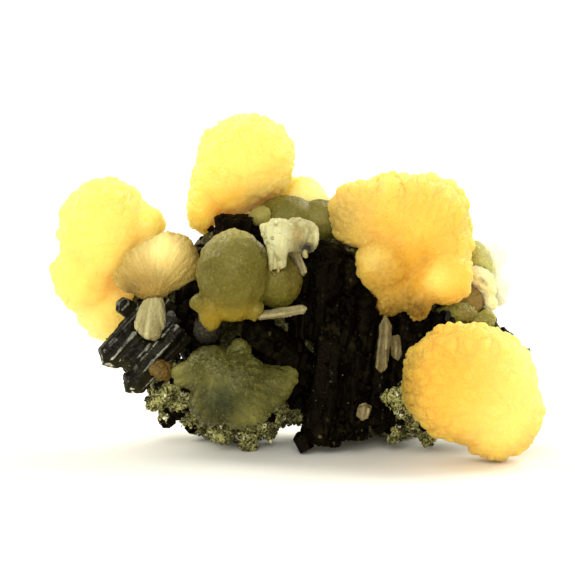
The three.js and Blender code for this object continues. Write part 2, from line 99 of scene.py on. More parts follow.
def grid_random(cell: np.ndarray, seed: int) -> np.ndarray:
    """Draw four repeatable numbers for each whole-number cell of a grid.

    Args:
        cell: The cells, as an N by 3 array of whole numbers.
        seed: Which of the endless fields of numbers is drawn from.

    Returns:
        An N by 4 array of numbers from 0 to 1.
    """
    x, y, z = (cell[:, axis].astype(np.uint32) * np.uint32(AXIS_FACTORS[axis]) for axis in range(3))
    state = x ^ y ^ z ^ np.uint32((seed * SEED_FACTOR) & WORD_MASK)
    drawn = []
    for _ in range(DRAWS):
        for shift, factor in STIRRERS:
            state = (state ^ (state >> np.uint32(shift))) * np.uint32(factor)
        state = state ^ (state >> np.uint32(LAST_SHIFT))
        drawn.append(state / WORDS)
        state = state + np.uint32(ADVANCE)
    return np.stack(drawn, axis=1)


@dataclass
class Cells:
    """Points sorted into the cells of scattered sites.

    Attributes:
        pillow: A rounded bulge over each cell, which falls to 0 in a sharp crease at its border.
        tag: A number from 0 to 1 that is the same all over a cell.
    """

    pillow: np.ndarray
    tag: np.ndarray

    FAR = 9.0
    MARGIN = 0.08
    CREASE = 0.7

    @classmethod
    def of(cls, points: np.ndarray, spacing: float, seed: int) -> "Cells":
        """Sort points into cells.

        Args:
            points: The points, N by 3.
            spacing: The mean distance between the sites.
            seed: The layout's seed.

        Returns:
            The sorted points.
        """
        scaled = points / spacing
        base = np.floor(scaled).astype(np.int64)
        nearest = np.full(len(points), cls.FAR)
        second = np.full(len(points), cls.FAR)
        tag = np.zeros(len(points))
        for step in np.ndindex(3, 3, 3):
            cell = base + (np.array(step) - 1)
            drawn = grid_random(cell, seed)
            site = cell + cls.MARGIN + (1 - 2 * cls.MARGIN) * drawn[:, :3]
            away = np.linalg.norm(scaled - site, axis=1)
            closer = away < nearest
            second = np.where(closer, nearest, np.minimum(second, away))
            tag = np.where(closer, drawn[:, 3], tag)
            nearest = np.where(closer, away, nearest)
        inside = np.minimum(1.0, (second - nearest) / cls.CREASE)
        return cls(1.0 - (1.0 - inside) ** 2, tag)


def soft_noise(points: np.ndarray, scale: float, seed: int) -> np.ndarray:
    """Give smooth noise at points.

    Args:
        points: The points, N by 3.
        scale: The size of the largest features.
        seed: The field's seed.

    Returns:
        A number from about -1 to 1 for each point.
    """
    total = np.zeros(len(points))
    strength, weight = 1.0, 0.0
    for octave in range(OCTAVES):
        scaled = points / scale * 2**octave
        base = np.floor(scaled)
        part = eased(scaled - base)
        value = np.zeros(len(points))
        for corner in np.ndindex(2, 2, 2):
            share = np.prod(np.where(np.array(corner) == 1, part, 1 - part), axis=1)
            drawn = grid_random(base.astype(np.int64) + np.array(corner), seed + OCTAVE_SEEDS * octave)
            value += share * drawn[:, 0]
        total += strength * (2 * value - 1)
        weight += strength
        strength *= OCTAVE_STRENGTH
    return total / weight * NOISE_GAIN


# ---- Surfaces ----


def shown(name: str, data: bpy.types.ID) -> bpy.types.Object:
    """Make an object and put it in the scene.

    Args:
        name: Its name.
        data: Its mesh, lamp or camera.

    Returns:
        The object.
    """
    made = bpy.data.objects.new(name, data)
    bpy.context.scene.collection.objects.link(made)
    return made


@dataclass(frozen=True)
class Weave:
    """How the surface over a solid is resolved.

    Attributes:
        voxel: The grid that it is first resolved to.
        passes: How many times it is smoothed, which rounds its edges.
        halvings: How many times the edges of its faces are halved after that.
        fill: How far it is swelled and shrunk again, which closes holes and narrow clefts.
        kept: The share of its faces that is left once the relief is on it.
    """

    voxel: float
    passes: int
    halvings: int
    fill: float = 0.0
    kept: float = 0.5


ROUNDED = Weave(0.62, 4, 2)
FILLED = Weave(0.62, 2, 2, 0.22)
STUMP = Weave(0.5, 22, 1)
WORN = Weave(0.5, 7, 1)
CLEAVED = Weave(0.26, 8, 1)
SMALL_ROUNDED = Weave(0.34, 3, 1)
SHEAF_ENDS = Weave(0.3, 3, 1)
CRUST = Weave(0.3, 4, 1)
FACETED = Weave(0.24, 1, 0, kept=0.7)
THIN_BLADE = Weave(0.14, 2, 0)
RUBBLE = Weave(0.32, 2, 0, kept=0.7)


class Skin:
    """A closed surface that is being worked, in millimetres."""

    SOFTENING = 0.5

    def __init__(self, mesh: bpy.types.Mesh) -> None:
        """Take over a mesh.

        Args:
            mesh: The mesh, in metres.
        """
        self.mesh = mesh
        self.points = self._read(mesh.vertices, "co") / MM
        self.normals = self._read(mesh.vertex_normals, "vector")

    @staticmethod
    def _read(items: bpy.types.bpy_prop_collection, name: str) -> np.ndarray:
        """Read a vector of each item of a mesh.

        Args:
            items: The mesh's points or the normals at them.
            name: The property that holds the vector.

        Returns:
            The vectors, N by 3.
        """
        flat = np.empty(len(items) * 3, dtype=np.float32)
        items.foreach_get(name, flat)
        return flat.reshape(-1, 3).astype(np.float64)

    @classmethod
    def over_node(cls, node: str, weave: Weave) -> "Skin":
        """Lay an even, softened surface over the solid of a node.

        Args:
            node: The node.
            weave: How fine and how soft the surface is.

        Returns:
            The surface.
        """
        holder = shown("work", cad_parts[node].data.copy())
        for step in (weave.fill, -weave.fill) if weave.fill else (0.0,):
            remesh = holder.modifiers.new("even", "REMESH")
            remesh.mode = "VOXEL"
            remesh.voxel_size = weave.voxel * MM
            if step:
                move = holder.modifiers.new("move", "DISPLACE")
                move.mid_level = 0.0
                move.strength = step * MM
        soften = holder.modifiers.new("soften", "SMOOTH")
        soften.factor = cls.SOFTENING
        soften.iterations = weave.passes
        if weave.halvings:
            divide = holder.modifiers.new("divide", "SUBSURF")
            divide.levels = weave.halvings
        graph = bpy.context.evaluated_depsgraph_get()
        mesh = bpy.data.meshes.new_from_object(holder.evaluated_get(graph))
        bpy.data.objects.remove(holder, do_unlink=True)
        mesh.materials.clear()
        return cls(mesh)

    def displace(self, lift: np.ndarray) -> None:
        """Move each point along its normal, but never into the table.

        Args:
            lift: How far each point moves.
        """
        self.points = self.points + self.normals * lift[:, None]
        self.points[:, 2] = np.maximum(self.points[:, 2], 0.0)
        self.mesh.vertices.foreach_set("co", (self.points * MM).astype(np.float32).ravel())
        self.mesh.update()

    def mark(self, name: str, values: np.ndarray) -> None:
        """Keep a number from 0 to 1 for each point under a name that the materials read."""
        layer = self.mesh.attributes.new(name, "FLOAT", "POINT")
        layer.data.foreach_set("value", np.clip(values, 0, 1).astype(np.float32))

    def piece(self, name: str, kept: float, material: bpy.types.Material) -> bpy.types.Object:
        """Make the object that shows the surface.

        Args:
            name: Its name.
            kept: The share of the faces that it keeps: the rest go where the form can spare them.
            material: What it is made of.

        Returns:
            The object.
        """
        made = shown(name, self.mesh)
        thin = made.modifiers.new("thin", "DECIMATE")
        thin.ratio = kept
        graph = bpy.context.evaluated_depsgraph_get()
        made.data = bpy.data.meshes.new_from_object(made.evaluated_get(graph))
        made.modifiers.clear()
        bpy.data.meshes.remove(self.mesh)
        self.mesh = made.data
        self.mesh.name = name
        self.mesh.materials.append(material)
        self.mesh.polygons.foreach_set("use_smooth", np.ones(len(self.mesh.polygons), dtype=bool))
        return made


# ---- Shader groups and finishes ----

MOTTLE_DEFAULTS = {"Scale": 300.0, "Seed": 0.0, "Low": 0.35, "High": 0.65}
CLOUD_DETAIL = {"Detail": 4.0, "Roughness": 0.6}
GRAIN_SCALE = 2500.0
GRAIN_DETAIL = 3.0
BRIGHT_FACETS = (0.8, 1.0)


class Tree:
    """A shorthand for laying out shader nodes."""

    MIX_FIRST, MIX_SECOND, MIX_RESULT = 6, 7, 2
    VALUE, FROM_LOW, FROM_HIGH, TO_LOW, TO_HIGH = range(5)

    def __init__(self, tree: bpy.types.NodeTree) -> None:
        """Work on a tree."""
        self.tree = tree

    def add(
        self, kind: str, inputs: Optional[dict[str | int, Fed]] = None, **settings: object
    ) -> bpy.types.Node:
        """Add a node.

        Args:
            kind: The node's type, without the word ShaderNode.
            inputs: Values or output sockets for its inputs, by name or number.
            settings: Properties of the node.

        Returns:
            The node.
        """
        node = self.tree.nodes.new("ShaderNode" + kind)
        for name, value in settings.items():
            setattr(node, name, value)
        for key, value in (inputs or {}).items():
            self.feed(node.inputs[key], value)
        return node

    def feed(self, socket: bpy.types.NodeSocket, value: Fed) -> None:
        """Link an output to a socket, or set the socket's own value.

        Args:
            socket: The socket.
            value: The output, or the value.
        """
        if isinstance(value, bpy.types.NodeSocket):
            self.tree.links.new(value, socket)
        else:
            socket.default_value = value

    def mix(self, factor: Fed, first: Fed, second: Fed, blend: str = "MIX") -> bpy.types.NodeSocket:
        """Mix two colours.

        Args:
            factor: How much of the second there is.
            first: The first colour.
            second: The second colour.
            blend: How they are blended.

        Returns:
            The result's socket.
        """
        node = self.add("Mix", data_type="RGBA", blend_type=blend)
        self.feed(node.inputs["Factor"], factor)
        for place, value in ((self.MIX_FIRST, first), (self.MIX_SECOND, second)):
            self.feed(node.inputs[place], (*value, 1.0) if isinstance(value, tuple) else value)
        return node.outputs[self.MIX_RESULT]

    def math(self, operation: str, first: Fed, second: Fed = 0.0) -> bpy.types.NodeSocket:
        """Combine two numbers and return the result's socket."""
        return self.add("Math", {0: first, 1: second}, operation=operation).outputs[0]

    def spread(self, value: Fed, low: Fed, high: Fed) -> bpy.types.NodeSocket:
        """Stretch the numbers from low to high over 0 to 1 and return the result's socket."""
        limits = {self.VALUE: value, self.FROM_LOW: low, self.FROM_HIGH: high}
        return self.add("MapRange", limits, clamp=True).outputs[0]

    def between(self, value: Fed, low: float, high: float) -> bpy.types.NodeSocket:
        """Turn a number from 0 to 1 into one from low to high and return the result's socket."""
        limits = {self.VALUE: value, self.TO_LOW: low, self.TO_HIGH: high}
        return self.add("MapRange", limits).outputs[0]


class SharedEffect(Enum):
    """The effects that several finishes share, each of them one node group."""

    MOTTLE = "Mottle"
    GRAIN = "Crystal grain"

    def group(self) -> bpy.types.NodeTree:
        """Give the effect's node group, built the first time that it is asked for.

        Returns:
            The node group.
        """
        found = bpy.data.node_groups.get(self.value)
        if found:
            return found
        tree = bpy.data.node_groups.new(self.value, "ShaderNodeTree")
        build = {SharedEffect.MOTTLE: self._mottle, SharedEffect.GRAIN: self._grain}[self]
        build(tree)
        return tree

    @staticmethod
    def _mottle(tree: bpy.types.NodeTree) -> None:
        """Build cloudy patches that run from 0 to 1.

        Args:
            tree: The empty group.
        """
        for name, value in MOTTLE_DEFAULTS.items():
            socket = tree.interface.new_socket(name, in_out="INPUT", socket_type="NodeSocketFloat")
            socket.default_value = value
        tree.interface.new_socket("Mask", in_out="OUTPUT", socket_type="NodeSocketFloat")
        lay = Tree(tree)
        given = tree.nodes.new("NodeGroupInput").outputs
        place = lay.add("TexCoord").outputs["Object"]
        noise = lay.add(
            "TexNoise",
            {"Vector": place, "Scale": given["Scale"], "W": given["Seed"]} | CLOUD_DETAIL,
            noise_dimensions="4D",
        )
        result = tree.nodes.new("NodeGroupOutput")
        lay.feed(result.inputs["Mask"], lay.spread(noise.outputs[0], given["Low"], given["High"]))

    @staticmethod
    def _grain(tree: bpy.types.NodeTree) -> None:
        """Build the fine facets of a crystal surface as a height and a glint mask.

        Args:
            tree: The empty group.
        """
        scale = tree.interface.new_socket("Scale", in_out="INPUT", socket_type="NodeSocketFloat")
        scale.default_value = GRAIN_SCALE
        tree.interface.new_socket("Height", in_out="OUTPUT", socket_type="NodeSocketFloat")
        tree.interface.new_socket("Glint", in_out="OUTPUT", socket_type="NodeSocketFloat")
        lay = Tree(tree)
        given = tree.nodes.new("NodeGroupInput").outputs
        place = lay.add("TexCoord").outputs["Object"]
        facets = lay.add("TexVoronoi", {"Vector": place, "Scale": given["Scale"]})
        finer = lay.add("TexNoise", {"Vector": place, "Scale": given["Scale"], "Detail": GRAIN_DETAIL})
        dip = lay.math("MULTIPLY", facets.outputs["Distance"], -1.0)
        shade = lay.add("SeparateColor", {0: facets.outputs["Color"]}).outputs[0]
        result = tree.nodes.new("NodeGroupOutput")
        lay.feed(result.inputs["Height"], lay.math("ADD", dip, finer.outputs[0]))
        lay.feed(result.inputs["Glint"], lay.spread(shade, *BRIGHT_FACETS))


def attribute(lay: Tree, name: str) -> bpy.types.NodeSocket:
    """Return the socket that reads a number kept on the surface."""
    return lay.add("Attribute", attribute_name=name).outputs["Fac"]


def effect(lay: Tree, shared: SharedEffect, inputs: dict[str, Fed]) -> bpy.types.Node:
    """Place a shared effect in a material.

    Args:
        lay: The material's tree.
        shared: The effect.
        inputs: The values that it takes here, by name.

    Returns:
        The node that holds it.
    """
    node = lay.tree.nodes.new("ShaderNodeGroup")
    node.node_tree = shared.group()
    for name, value in inputs.items():
        lay.feed(node.inputs[name], value)
    return node


def blank_material(name: str) -> tuple[bpy.types.Material, Tree, bpy.types.Node]:
    """Start a material.

    Args:
        name: Its name.

    Returns:
        The material, its tree and its Principled shader.
    """
    material = bpy.data.materials.new(name)
    material.use_nodes = True
    return material, Tree(material.node_tree), material.node_tree.nodes["Principled BSDF"]


class Finish:
    """What all finishes share: each is one material, with fine facets under a gloss of its own.

    Attributes:
        name: The material's name.
        slot: The name of a material slot; it is not used.
        gloss: How strongly the surface mirrors.
        sheen_tint: The tint of what the surface mirrors.
        bump: The height of the fine facets, in millimetres.
        grain: How many of those facets lie in a metre.
    """

    name: str
    slot: str
    gloss: float
    sheen_tint: Colour
    bump: float
    grain: float

    def material(self) -> bpy.types.Material:
        """Give the finish's material, made the first time that it is asked for.

        Returns:
            The material.
        """
        found = bpy.data.materials.get(self.name)
        if found:
            return found
        material, lay, shader = blank_material(self.name)
        grain = effect(lay, SharedEffect.GRAIN, {"Scale": self.grain}).outputs
        self.lay_out(lay, shader, grain["Glint"])
        shader.inputs["Specular Tint"].default_value = (*self.sheen_tint, 1.0)
        shader.inputs["Specular IOR Level"].default_value = self.gloss
        bump = lay.add("Bump", {"Height": grain["Height"], "Distance": self.bump * MM})
        lay.feed(shader.inputs["Normal"], bump.outputs[0])
        return material

    def lay_out(self, lay: Tree, shader: bpy.types.Node, glint: bpy.types.NodeSocket) -> None:
        """Lay out the nodes that give the surface its colours and its roughness.

        Args:
            lay: The material's tree.
            shader: Its Principled shader.
            glint: The socket that tells which facets glint.
        """
        raise NotImplementedError


@dataclass(frozen=True)
class TranslucentFinish(Finish):
    """A crystal mass that light soaks into.

    Attributes:
        body: The common colour.
        deep: The colour near the root of the blades, also painted as shade in the creases and in shaded
            patches.
        pale: The paler colour, painted as highlight on the raised tips and in lit patches, and taken by
            the tiny specks.
        dull: The colour of real staining, and of painted shade on the dim sides and tails.
        soak: How far light travels inside, in millimetres.
        spread: How far red, green and blue travel against one another.
        roughness: The surface's roughness.
        mottle: How many cloudy patches lie in a metre.
        frost_and_sparkle: How strongly tiny specks take the pale colour; the specks are partly a painted
            sparkle.
        creases: How strongly the creases take the deep colour as painted shade.
        tips: How strongly the tips take the pale colour as a painted highlight.
    """

    name: str
    slot: str
    body: Colour
    deep: Colour
    pale: Colour
    dull: Colour
    soak: float = 7.0
    spread: Colour = (1.0, 0.7, 0.3)
    roughness: float = 0.5
    gloss: float = 0.25
    sheen_tint: Colour = (1.0, 0.88, 0.6)
    bump: float = 0.12
    grain: float = 2600.0
    mottle: float = 170.0
    frost_and_sparkle: float = 0.1
    creases: float = 0.08
    tips: float = 0.1

    SPECKS = {"Scale": 1400.0, "Low": 0.42, "High": 0.6}
    FROST_AND_SPARKLE = {"Scale": 2600.0, "Seed": 6.0, "Low": 0.54, "High": 0.66}
    CLOUD_SEED = 1.3
    GLINT_POLISH = -0.25
    SPECKLED = 0.25
    PLAIN = 0.85

    def lay_out(self, lay: Tree, shader: bpy.types.Node, glint: bpy.types.NodeSocket) -> None:
        """Lay the deep colour with its painted crease shade, the painted highlights on the tips, the pale
        specks with their painted sparkle, and the real staining and painted shade over one another.

        Args:
            lay: The material's tree.
            shader: Its Principled shader.
            glint: The socket that tells which facets glint.
        """
        tip, deep, pale, dull = (attribute(lay, name) for name in ("tip", "deep", "pale", "dull"))
        mottle = {"Scale": self.mottle, "Seed": self.CLOUD_SEED}
        clouds = effect(lay, SharedEffect.MOTTLE, mottle).outputs["Mask"]
        specks = effect(lay, SharedEffect.MOTTLE, self.SPECKS).outputs["Mask"]
        frost_and_sparkle = effect(lay, SharedEffect.MOTTLE, self.FROST_AND_SPARKLE).outputs["Mask"]
        # Painted shade: the creases between the raised tips take the deep colour.
        crease = lay.math("MULTIPLY", lay.math("SUBTRACT", 1.0, tip), self.creases)
        deep_and_shade = lay.math("ADD", deep, lay.math("MULTIPLY", crease, clouds))
        ground = lay.mix(lay.spread(deep_and_shade, 0.0, 1.0), self.body, self.deep)
        # Painted highlight: the raised tips and the lit patches take the pale colour.
        light = lay.math("ADD", pale, lay.math("MULTIPLY", tip, self.tips))
        ground = lay.mix(lay.spread(light, 0.0, 1.0), ground, self.pale)
        # Partly painted sparkle: tiny specks take the pale colour.
        ground = lay.mix(lay.math("MULTIPLY", frost_and_sparkle, self.frost_and_sparkle), ground, self.pale)
        # The dull colour is partly real staining and partly painted shade.
        patchy = lay.math("ADD", lay.math("MULTIPLY", specks, self.SPECKLED), self.PLAIN)
        stain = lay.math("MULTIPLY", dull, patchy)
        lay.feed(shader.inputs["Base Color"], lay.mix(lay.spread(stain, 0.0, 1.0), ground, self.dull))
        polish = lay.math("MULTIPLY", glint, self.GLINT_POLISH)
        lay.feed(shader.inputs["Roughness"], lay.math("ADD", polish, self.roughness))
        shader.inputs["Subsurface Weight"].default_value = 1.0
        shader.inputs["Subsurface Radius"].default_value = self.spread
        shader.inputs["Subsurface Scale"].default_value = self.soak * MM


@dataclass(frozen=True)
class DarkFinish(Finish):
    """Epidote, from glossy black prisms to a crumbly olive mass.

    Attributes:
        dark: The colour of clean faces.
        warm: The colour of thin edges and crumbs.
        pale: The colour of the crumbs that light comes through, a painted glow, and of the painted
            highlight of sheen along the prism lines.
        roughness: Roughness of clean faces and of crumbs.
        warmth: How much of the surface takes the warm colour.
        glints: How strongly the clean cleavage lines mirror.
        patches: How many warm patches lie in a metre, and the noise levels between which they fade in.
        sheen_streaks: The tip levels between which the pale colour, a painted highlight, fades in.
        evenness: How much of the warmth stays where the patches thin out, from 0 to 1.
    """

    name: str
    slot: str
    dark: Colour
    warm: Colour
    pale: Colour
    roughness: Range
    warmth: float
    gloss: float = 0.3
    glints: float = 0.8
    sheen_tint: Colour = (1.0, 0.72, 0.4)
    patches: tuple[float, float, float] = (260.0, 0.35, 0.65)
    sheen_streaks: Range = (0.5, 0.9)
    evenness: float = 0.15
    bump: float = 0.05
    grain: float = 2200.0

    CLOUD_SEED = 4.1
    BROAD_SEED = 8.5
    BROAD = 0.2
    PALE_STRENGTH = 1.2
    CLEAVAGE = (0.6, 0.85)
    POLISH = 0.2

    def lay_out(self, lay: Tree, shader: bpy.types.Node, glint: bpy.types.NodeSocket) -> None:
        """Lay warm patches and pale streak lines of painted highlight over the dark faces, and let the
        clean lines glint.

        Args:
            lay: The material's tree.
            shader: Its Principled shader.
            glint: The socket that tells which facets glint.
        """
        crumb, tip = attribute(lay, "crumb"), attribute(lay, "tip")
        scale, low, high = self.patches
        mottle = {"Scale": scale, "Seed": self.CLOUD_SEED, "Low": low, "High": high}
        wider = mottle | {"Scale": self.BROAD * scale, "Seed": self.BROAD_SEED}
        clouds = effect(lay, SharedEffect.MOTTLE, mottle).outputs["Mask"]
        broad = effect(lay, SharedEffect.MOTTLE, wider).outputs["Mask"]
        spotty = lay.math("MULTIPLY", broad, 1 - self.evenness)
        clouds = lay.math("MULTIPLY", clouds, lay.math("ADD", spotty, self.evenness))
        warm = lay.math("MULTIPLY", lay.math("MULTIPLY", crumb, clouds), self.warmth)
        ground = lay.mix(warm, self.dark, self.warm)
        # Painted highlight: the pale colour lies along the brightest tip lines as sheen, and on crumbs as
        # glow.
        lit = lay.math("MULTIPLY", warm, lay.spread(tip, *self.sheen_streaks))
        pale = lay.math("MULTIPLY", lit, self.PALE_STRENGTH)
        lay.feed(shader.inputs["Base Color"], lay.mix(pale, ground, self.pale))
        lay.feed(shader.inputs["Roughness"], lay.between(crumb, *self.roughness))
        lines = lay.math("MULTIPLY", lay.spread(tip, *self.CLEAVAGE), glint)
        lay.feed(shader.inputs["Coat Weight"], lay.math("MULTIPLY", lines, self.glints))
        shader.inputs["Coat Roughness"].default_value = self.POLISH


EVEN_GLOW = (1.0, 0.85, 0.5)

# In these finishes the deep colour is also painted shade in the creases and in shaded patches, the pale
# colour is also a painted highlight on the tips and in lit patches, and the dull colour serves both real
# staining and painted shade.
HONEY = TranslucentFinish(
    "Stilbite honey", "stilbite_honey", body=(0.85, 0.5, 0.074), deep=(0.8, 0.42, 0.035),
    pale=(0.97, 0.74, 0.2), dull=(0.15, 0.08, 0.006),
)
LEMON = TranslucentFinish(
    "Stilbite lemon", "stilbite_honey", body=(0.95, 0.69, 0.155), deep=(0.91, 0.5, 0.045),
    pale=(0.99, 0.85, 0.38), dull=(0.52, 0.34, 0.09), spread=(1.0, 0.8, 0.35), creases=0.06,
)
TAN = TranslucentFinish(
    "Stilbite tan", "stilbite_honey", body=(0.47, 0.33, 0.075), deep=(0.33, 0.2, 0.035),
    pale=(0.93, 0.74, 0.27), dull=(0.15, 0.085, 0.014), soak=3.0, creases=0.55,
)
AMBER = TranslucentFinish(
    "Stilbite amber", "stilbite_honey", body=(0.08, 0.042, 0.003), deep=(0.045, 0.023, 0.002),
    pale=(0.38, 0.27, 0.07), dull=(0.06, 0.04, 0.006), soak=1.2,
)
IVORY = TranslucentFinish(
    "Stilbite ivory", "stilbite_cream", body=(0.36, 0.31, 0.13), deep=(0.22, 0.18, 0.06),
    pale=(0.66, 0.61, 0.33), dull=(0.12, 0.08, 0.02), soak=1.4, spread=EVEN_GLOW, creases=0.7,
    tips=0.9,
)
CREAM = TranslucentFinish(
    "Stilbite cream", "stilbite_cream", body=(0.33, 0.29, 0.11), deep=(0.3, 0.2, 0.045),
    pale=(0.62, 0.6, 0.33), dull=(0.022, 0.02, 0.015), soak=1.4, spread=EVEN_GLOW, creases=0.5,
    tips=0.6,
)
# A darker copy of the tan stilbite for the single blades: the tan is their own colour, the darkness is
# painted shade.
TAN_IN_SHADE = TranslucentFinish(
    "Stilbite tan in shade", "stilbite_cream", body=(0.16, 0.12, 0.042), deep=(0.06, 0.04, 0.01),
    pale=(0.48, 0.42, 0.21), dull=(0.05, 0.035, 0.01), soak=0.6, spread=EVEN_GLOW, creases=1.2,
    tips=0.7,
)
PEARL = TranslucentFinish(
    "Stilbite pearl", "stilbite_honey", body=(0.97, 0.88, 0.5), deep=(0.9, 0.72, 0.25),
    pale=(1.0, 0.97, 0.8), dull=(0.6, 0.5, 0.2),
)
SHELL = TranslucentFinish(
    "Stilbite shell", "stilbite_cream", body=(0.86, 0.77, 0.4), deep=(0.7, 0.55, 0.2),
    pale=(0.98, 0.95, 0.75), dull=(0.1, 0.07, 0.03), soak=2.0,
)
JADE = TranslucentFinish(
    "Prehnite jade", "prehnite_olive", body=(0.27, 0.28, 0.035), deep=(0.13, 0.12, 0.01),
    pale=(0.72, 0.7, 0.28), dull=(0.16, 0.1, 0.012), soak=2.5, roughness=0.36, gloss=0.4, grain=3200.0,
    tips=0.5, creases=0.6, frost_and_sparkle=0.5,
)
OLIVE = TranslucentFinish(
    "Prehnite olive", "prehnite_olive", body=(0.115, 0.098, 0.009), deep=(0.06, 0.045, 0.003),
    pale=(0.3, 0.26, 0.07), dull=(0.28, 0.18, 0.01), creases=0.5, frost_and_sparkle=0.4, soak=1.2,
    spread=(1.0, 0.85, 0.3), roughness=0.36, gloss=0.28, sheen_tint=(1.0, 0.9, 0.4), bump=0.06,
    grain=3200.0, mottle=140.0, tips=0.3,
)
# A darker copy of the olive prehnite for the low ball: the greener hue is its own, the darkness is
# painted shade.
SEA_GREEN_IN_SHADE = TranslucentFinish(
    "Prehnite sea green in shade", "prehnite_olive", body=(0.037, 0.036, 0.003), deep=(0.015, 0.013, 0.0008),
    pale=(0.25, 0.23, 0.055), dull=(0.016, 0.024, 0.01), creases=0.7, frost_and_sparkle=0.6, soak=1.0,
    spread=(1.0, 0.85, 0.3), roughness=0.36, gloss=0.25, sheen_tint=(1.0, 0.92, 0.5), bump=0.06,
    grain=3200.0, mottle=140.0, tips=0.6,
)
SMOKE = TranslucentFinish(
    "Prehnite smoke", "prehnite_olive", body=(0.014, 0.012, 0.007), deep=(0.006, 0.005, 0.003),
    pale=(0.07, 0.06, 0.04), dull=(0.006, 0.005, 0.003), soak=0.4, roughness=0.3,
)
# Painted sheen: the pale colour of the left prisms is drawn along their lines as bright reflections.
SHEEN_STREAKED = DarkFinish(
    "Epidote painted sheen", "epidote_black", dark=(0.003, 0.0022, 0.001), warm=(0.02, 0.018, 0.005),
    pale=(0.66, 0.64, 0.48), roughness=(0.3, 0.6), warmth=2.8, sheen_tint=(1.0, 0.94, 0.86),
    sheen_streaks=(0.44, 0.66), gloss=0.09, glints=1.0,
)
BLACK = DarkFinish(
    "Epidote black", "epidote_black", dark=(0.0007, 0.0005, 0.0003), warm=(0.022, 0.017, 0.005),
    pale=(0.1, 0.085, 0.03), roughness=(0.4, 0.65), warmth=1.1, gloss=0.04, patches=(650.0, 0.46, 0.64),
    bump=0.06,
)
CRUMBLY = DarkFinish(
    "Epidote granular", "epidote_granular", dark=(0.015, 0.014, 0.004), warm=(0.36, 0.345, 0.11),
    pale=(0.9, 0.88, 0.6), roughness=(0.4, 0.6), warmth=2.3, glints=0.7, patches=(2500.0, 0.43, 0.57),
    evenness=0.24, bump=0.07,
)


# ---- Crystal groups ----


class Tone(Enum):
    """What a patch does to the colour of a crystal group; the patches are real staining, painted shade
    and painted highlights.
    """

    DEEP = "deep"
    PALE = "pale"
    DULL = "dull"


@dataclass(frozen=True)
class StainAndLightPatch:
    """A soft patch of another colour; some are real staining, and others are painted shade and painted
    highlights where the light falls.

    Attributes:
        tone: The colour that it brings.
        at: Its middle.
        reach: How far it reaches.
        amount: How strong it is in the middle.
    """

    tone: Tone
    at: Point
    reach: float
    amount: float


def spotted(**tones: Sequence[tuple[float, ...]]) -> list[StainAndLightPatch]:
    """List the patches of a crystal group: real staining, painted shade and painted highlights.

    Args:
        tones: Rows for each tone by name, each with the middle, the reach and the amount.

    Returns:
        The patches.
    """
    return [StainAndLightPatch(Tone(tone), row[:3], *row[3:]) for tone, rows in tones.items() for row in rows]


@dataclass
class CrystalGroup:
    """A group of crystals that is grown over the solid of one node.

    Attributes:
        node: The node.
        finish: What it is made of.
        weave: How its surface is resolved.
        swell: How far it grows to meet its neighbours.
        seed: The seed of its relief.
        stains: The patches of other colours on it, real staining, painted shade and painted highlights.
    """

    node: str
    finish: Finish
    weave: Weave = ROUNDED
    swell: float = 0.14
    seed: int = 1
    stains: Sequence[StainAndLightPatch] = ()

    def relief(self, skin: Skin) -> tuple[np.ndarray, dict[str, np.ndarray]]:
        """Give the height of the relief and the numbers that the finish reads.

        Args:
            skin: The smooth form.

        Returns:
            A height for each point, and named numbers for each point.
        """
        raise NotImplementedError

    def build(self) -> bpy.types.Object:
        """Make the group, and let it stand for its node.

        Returns:
            The group's object.
        """
        skin = Skin.over_node(self.node, self.weave)
        lift, marks = self.relief(skin)
        for tone in Tone:
            marks[tone.value] = self.stain_and_light_strength(skin.points, tone)
        skin.displace(lift + self.swell)
        for name, values in marks.items():
            skin.mark(name, values)
        made = skin.piece(self.node + "_grown", self.weave.kept, self.finish.material())
        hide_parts(self.node)
        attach(made, BODY)
        log.info("%s: %d faces", made.name, len(made.data.polygons))
        return made

    def stain_and_light_strength(self, points: np.ndarray, tone: Tone) -> np.ndarray:
        """Add up the patches of one tone, real staining and painted light alike.

        Args:
            points: The points, N by 3.
            tone: The tone.

        Returns:
            How strong the tone is at each point.
        """
        total = np.zeros(len(points))
        for stain in self.stains:
            if stain.tone is tone:
                away = np.linalg.norm(points - np.array(stain.at), axis=1) / stain.reach
                total += stain.amount * np.exp(-(away**2))
        return total

    def inside(self, fractions: Sequence[Point]) -> np.ndarray:
        """Turn places given as fractions of the node's box into millimetres."""
        low, high = (np.array(corner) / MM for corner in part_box(self.node))
        return low + np.array(fractions) * (high - low)


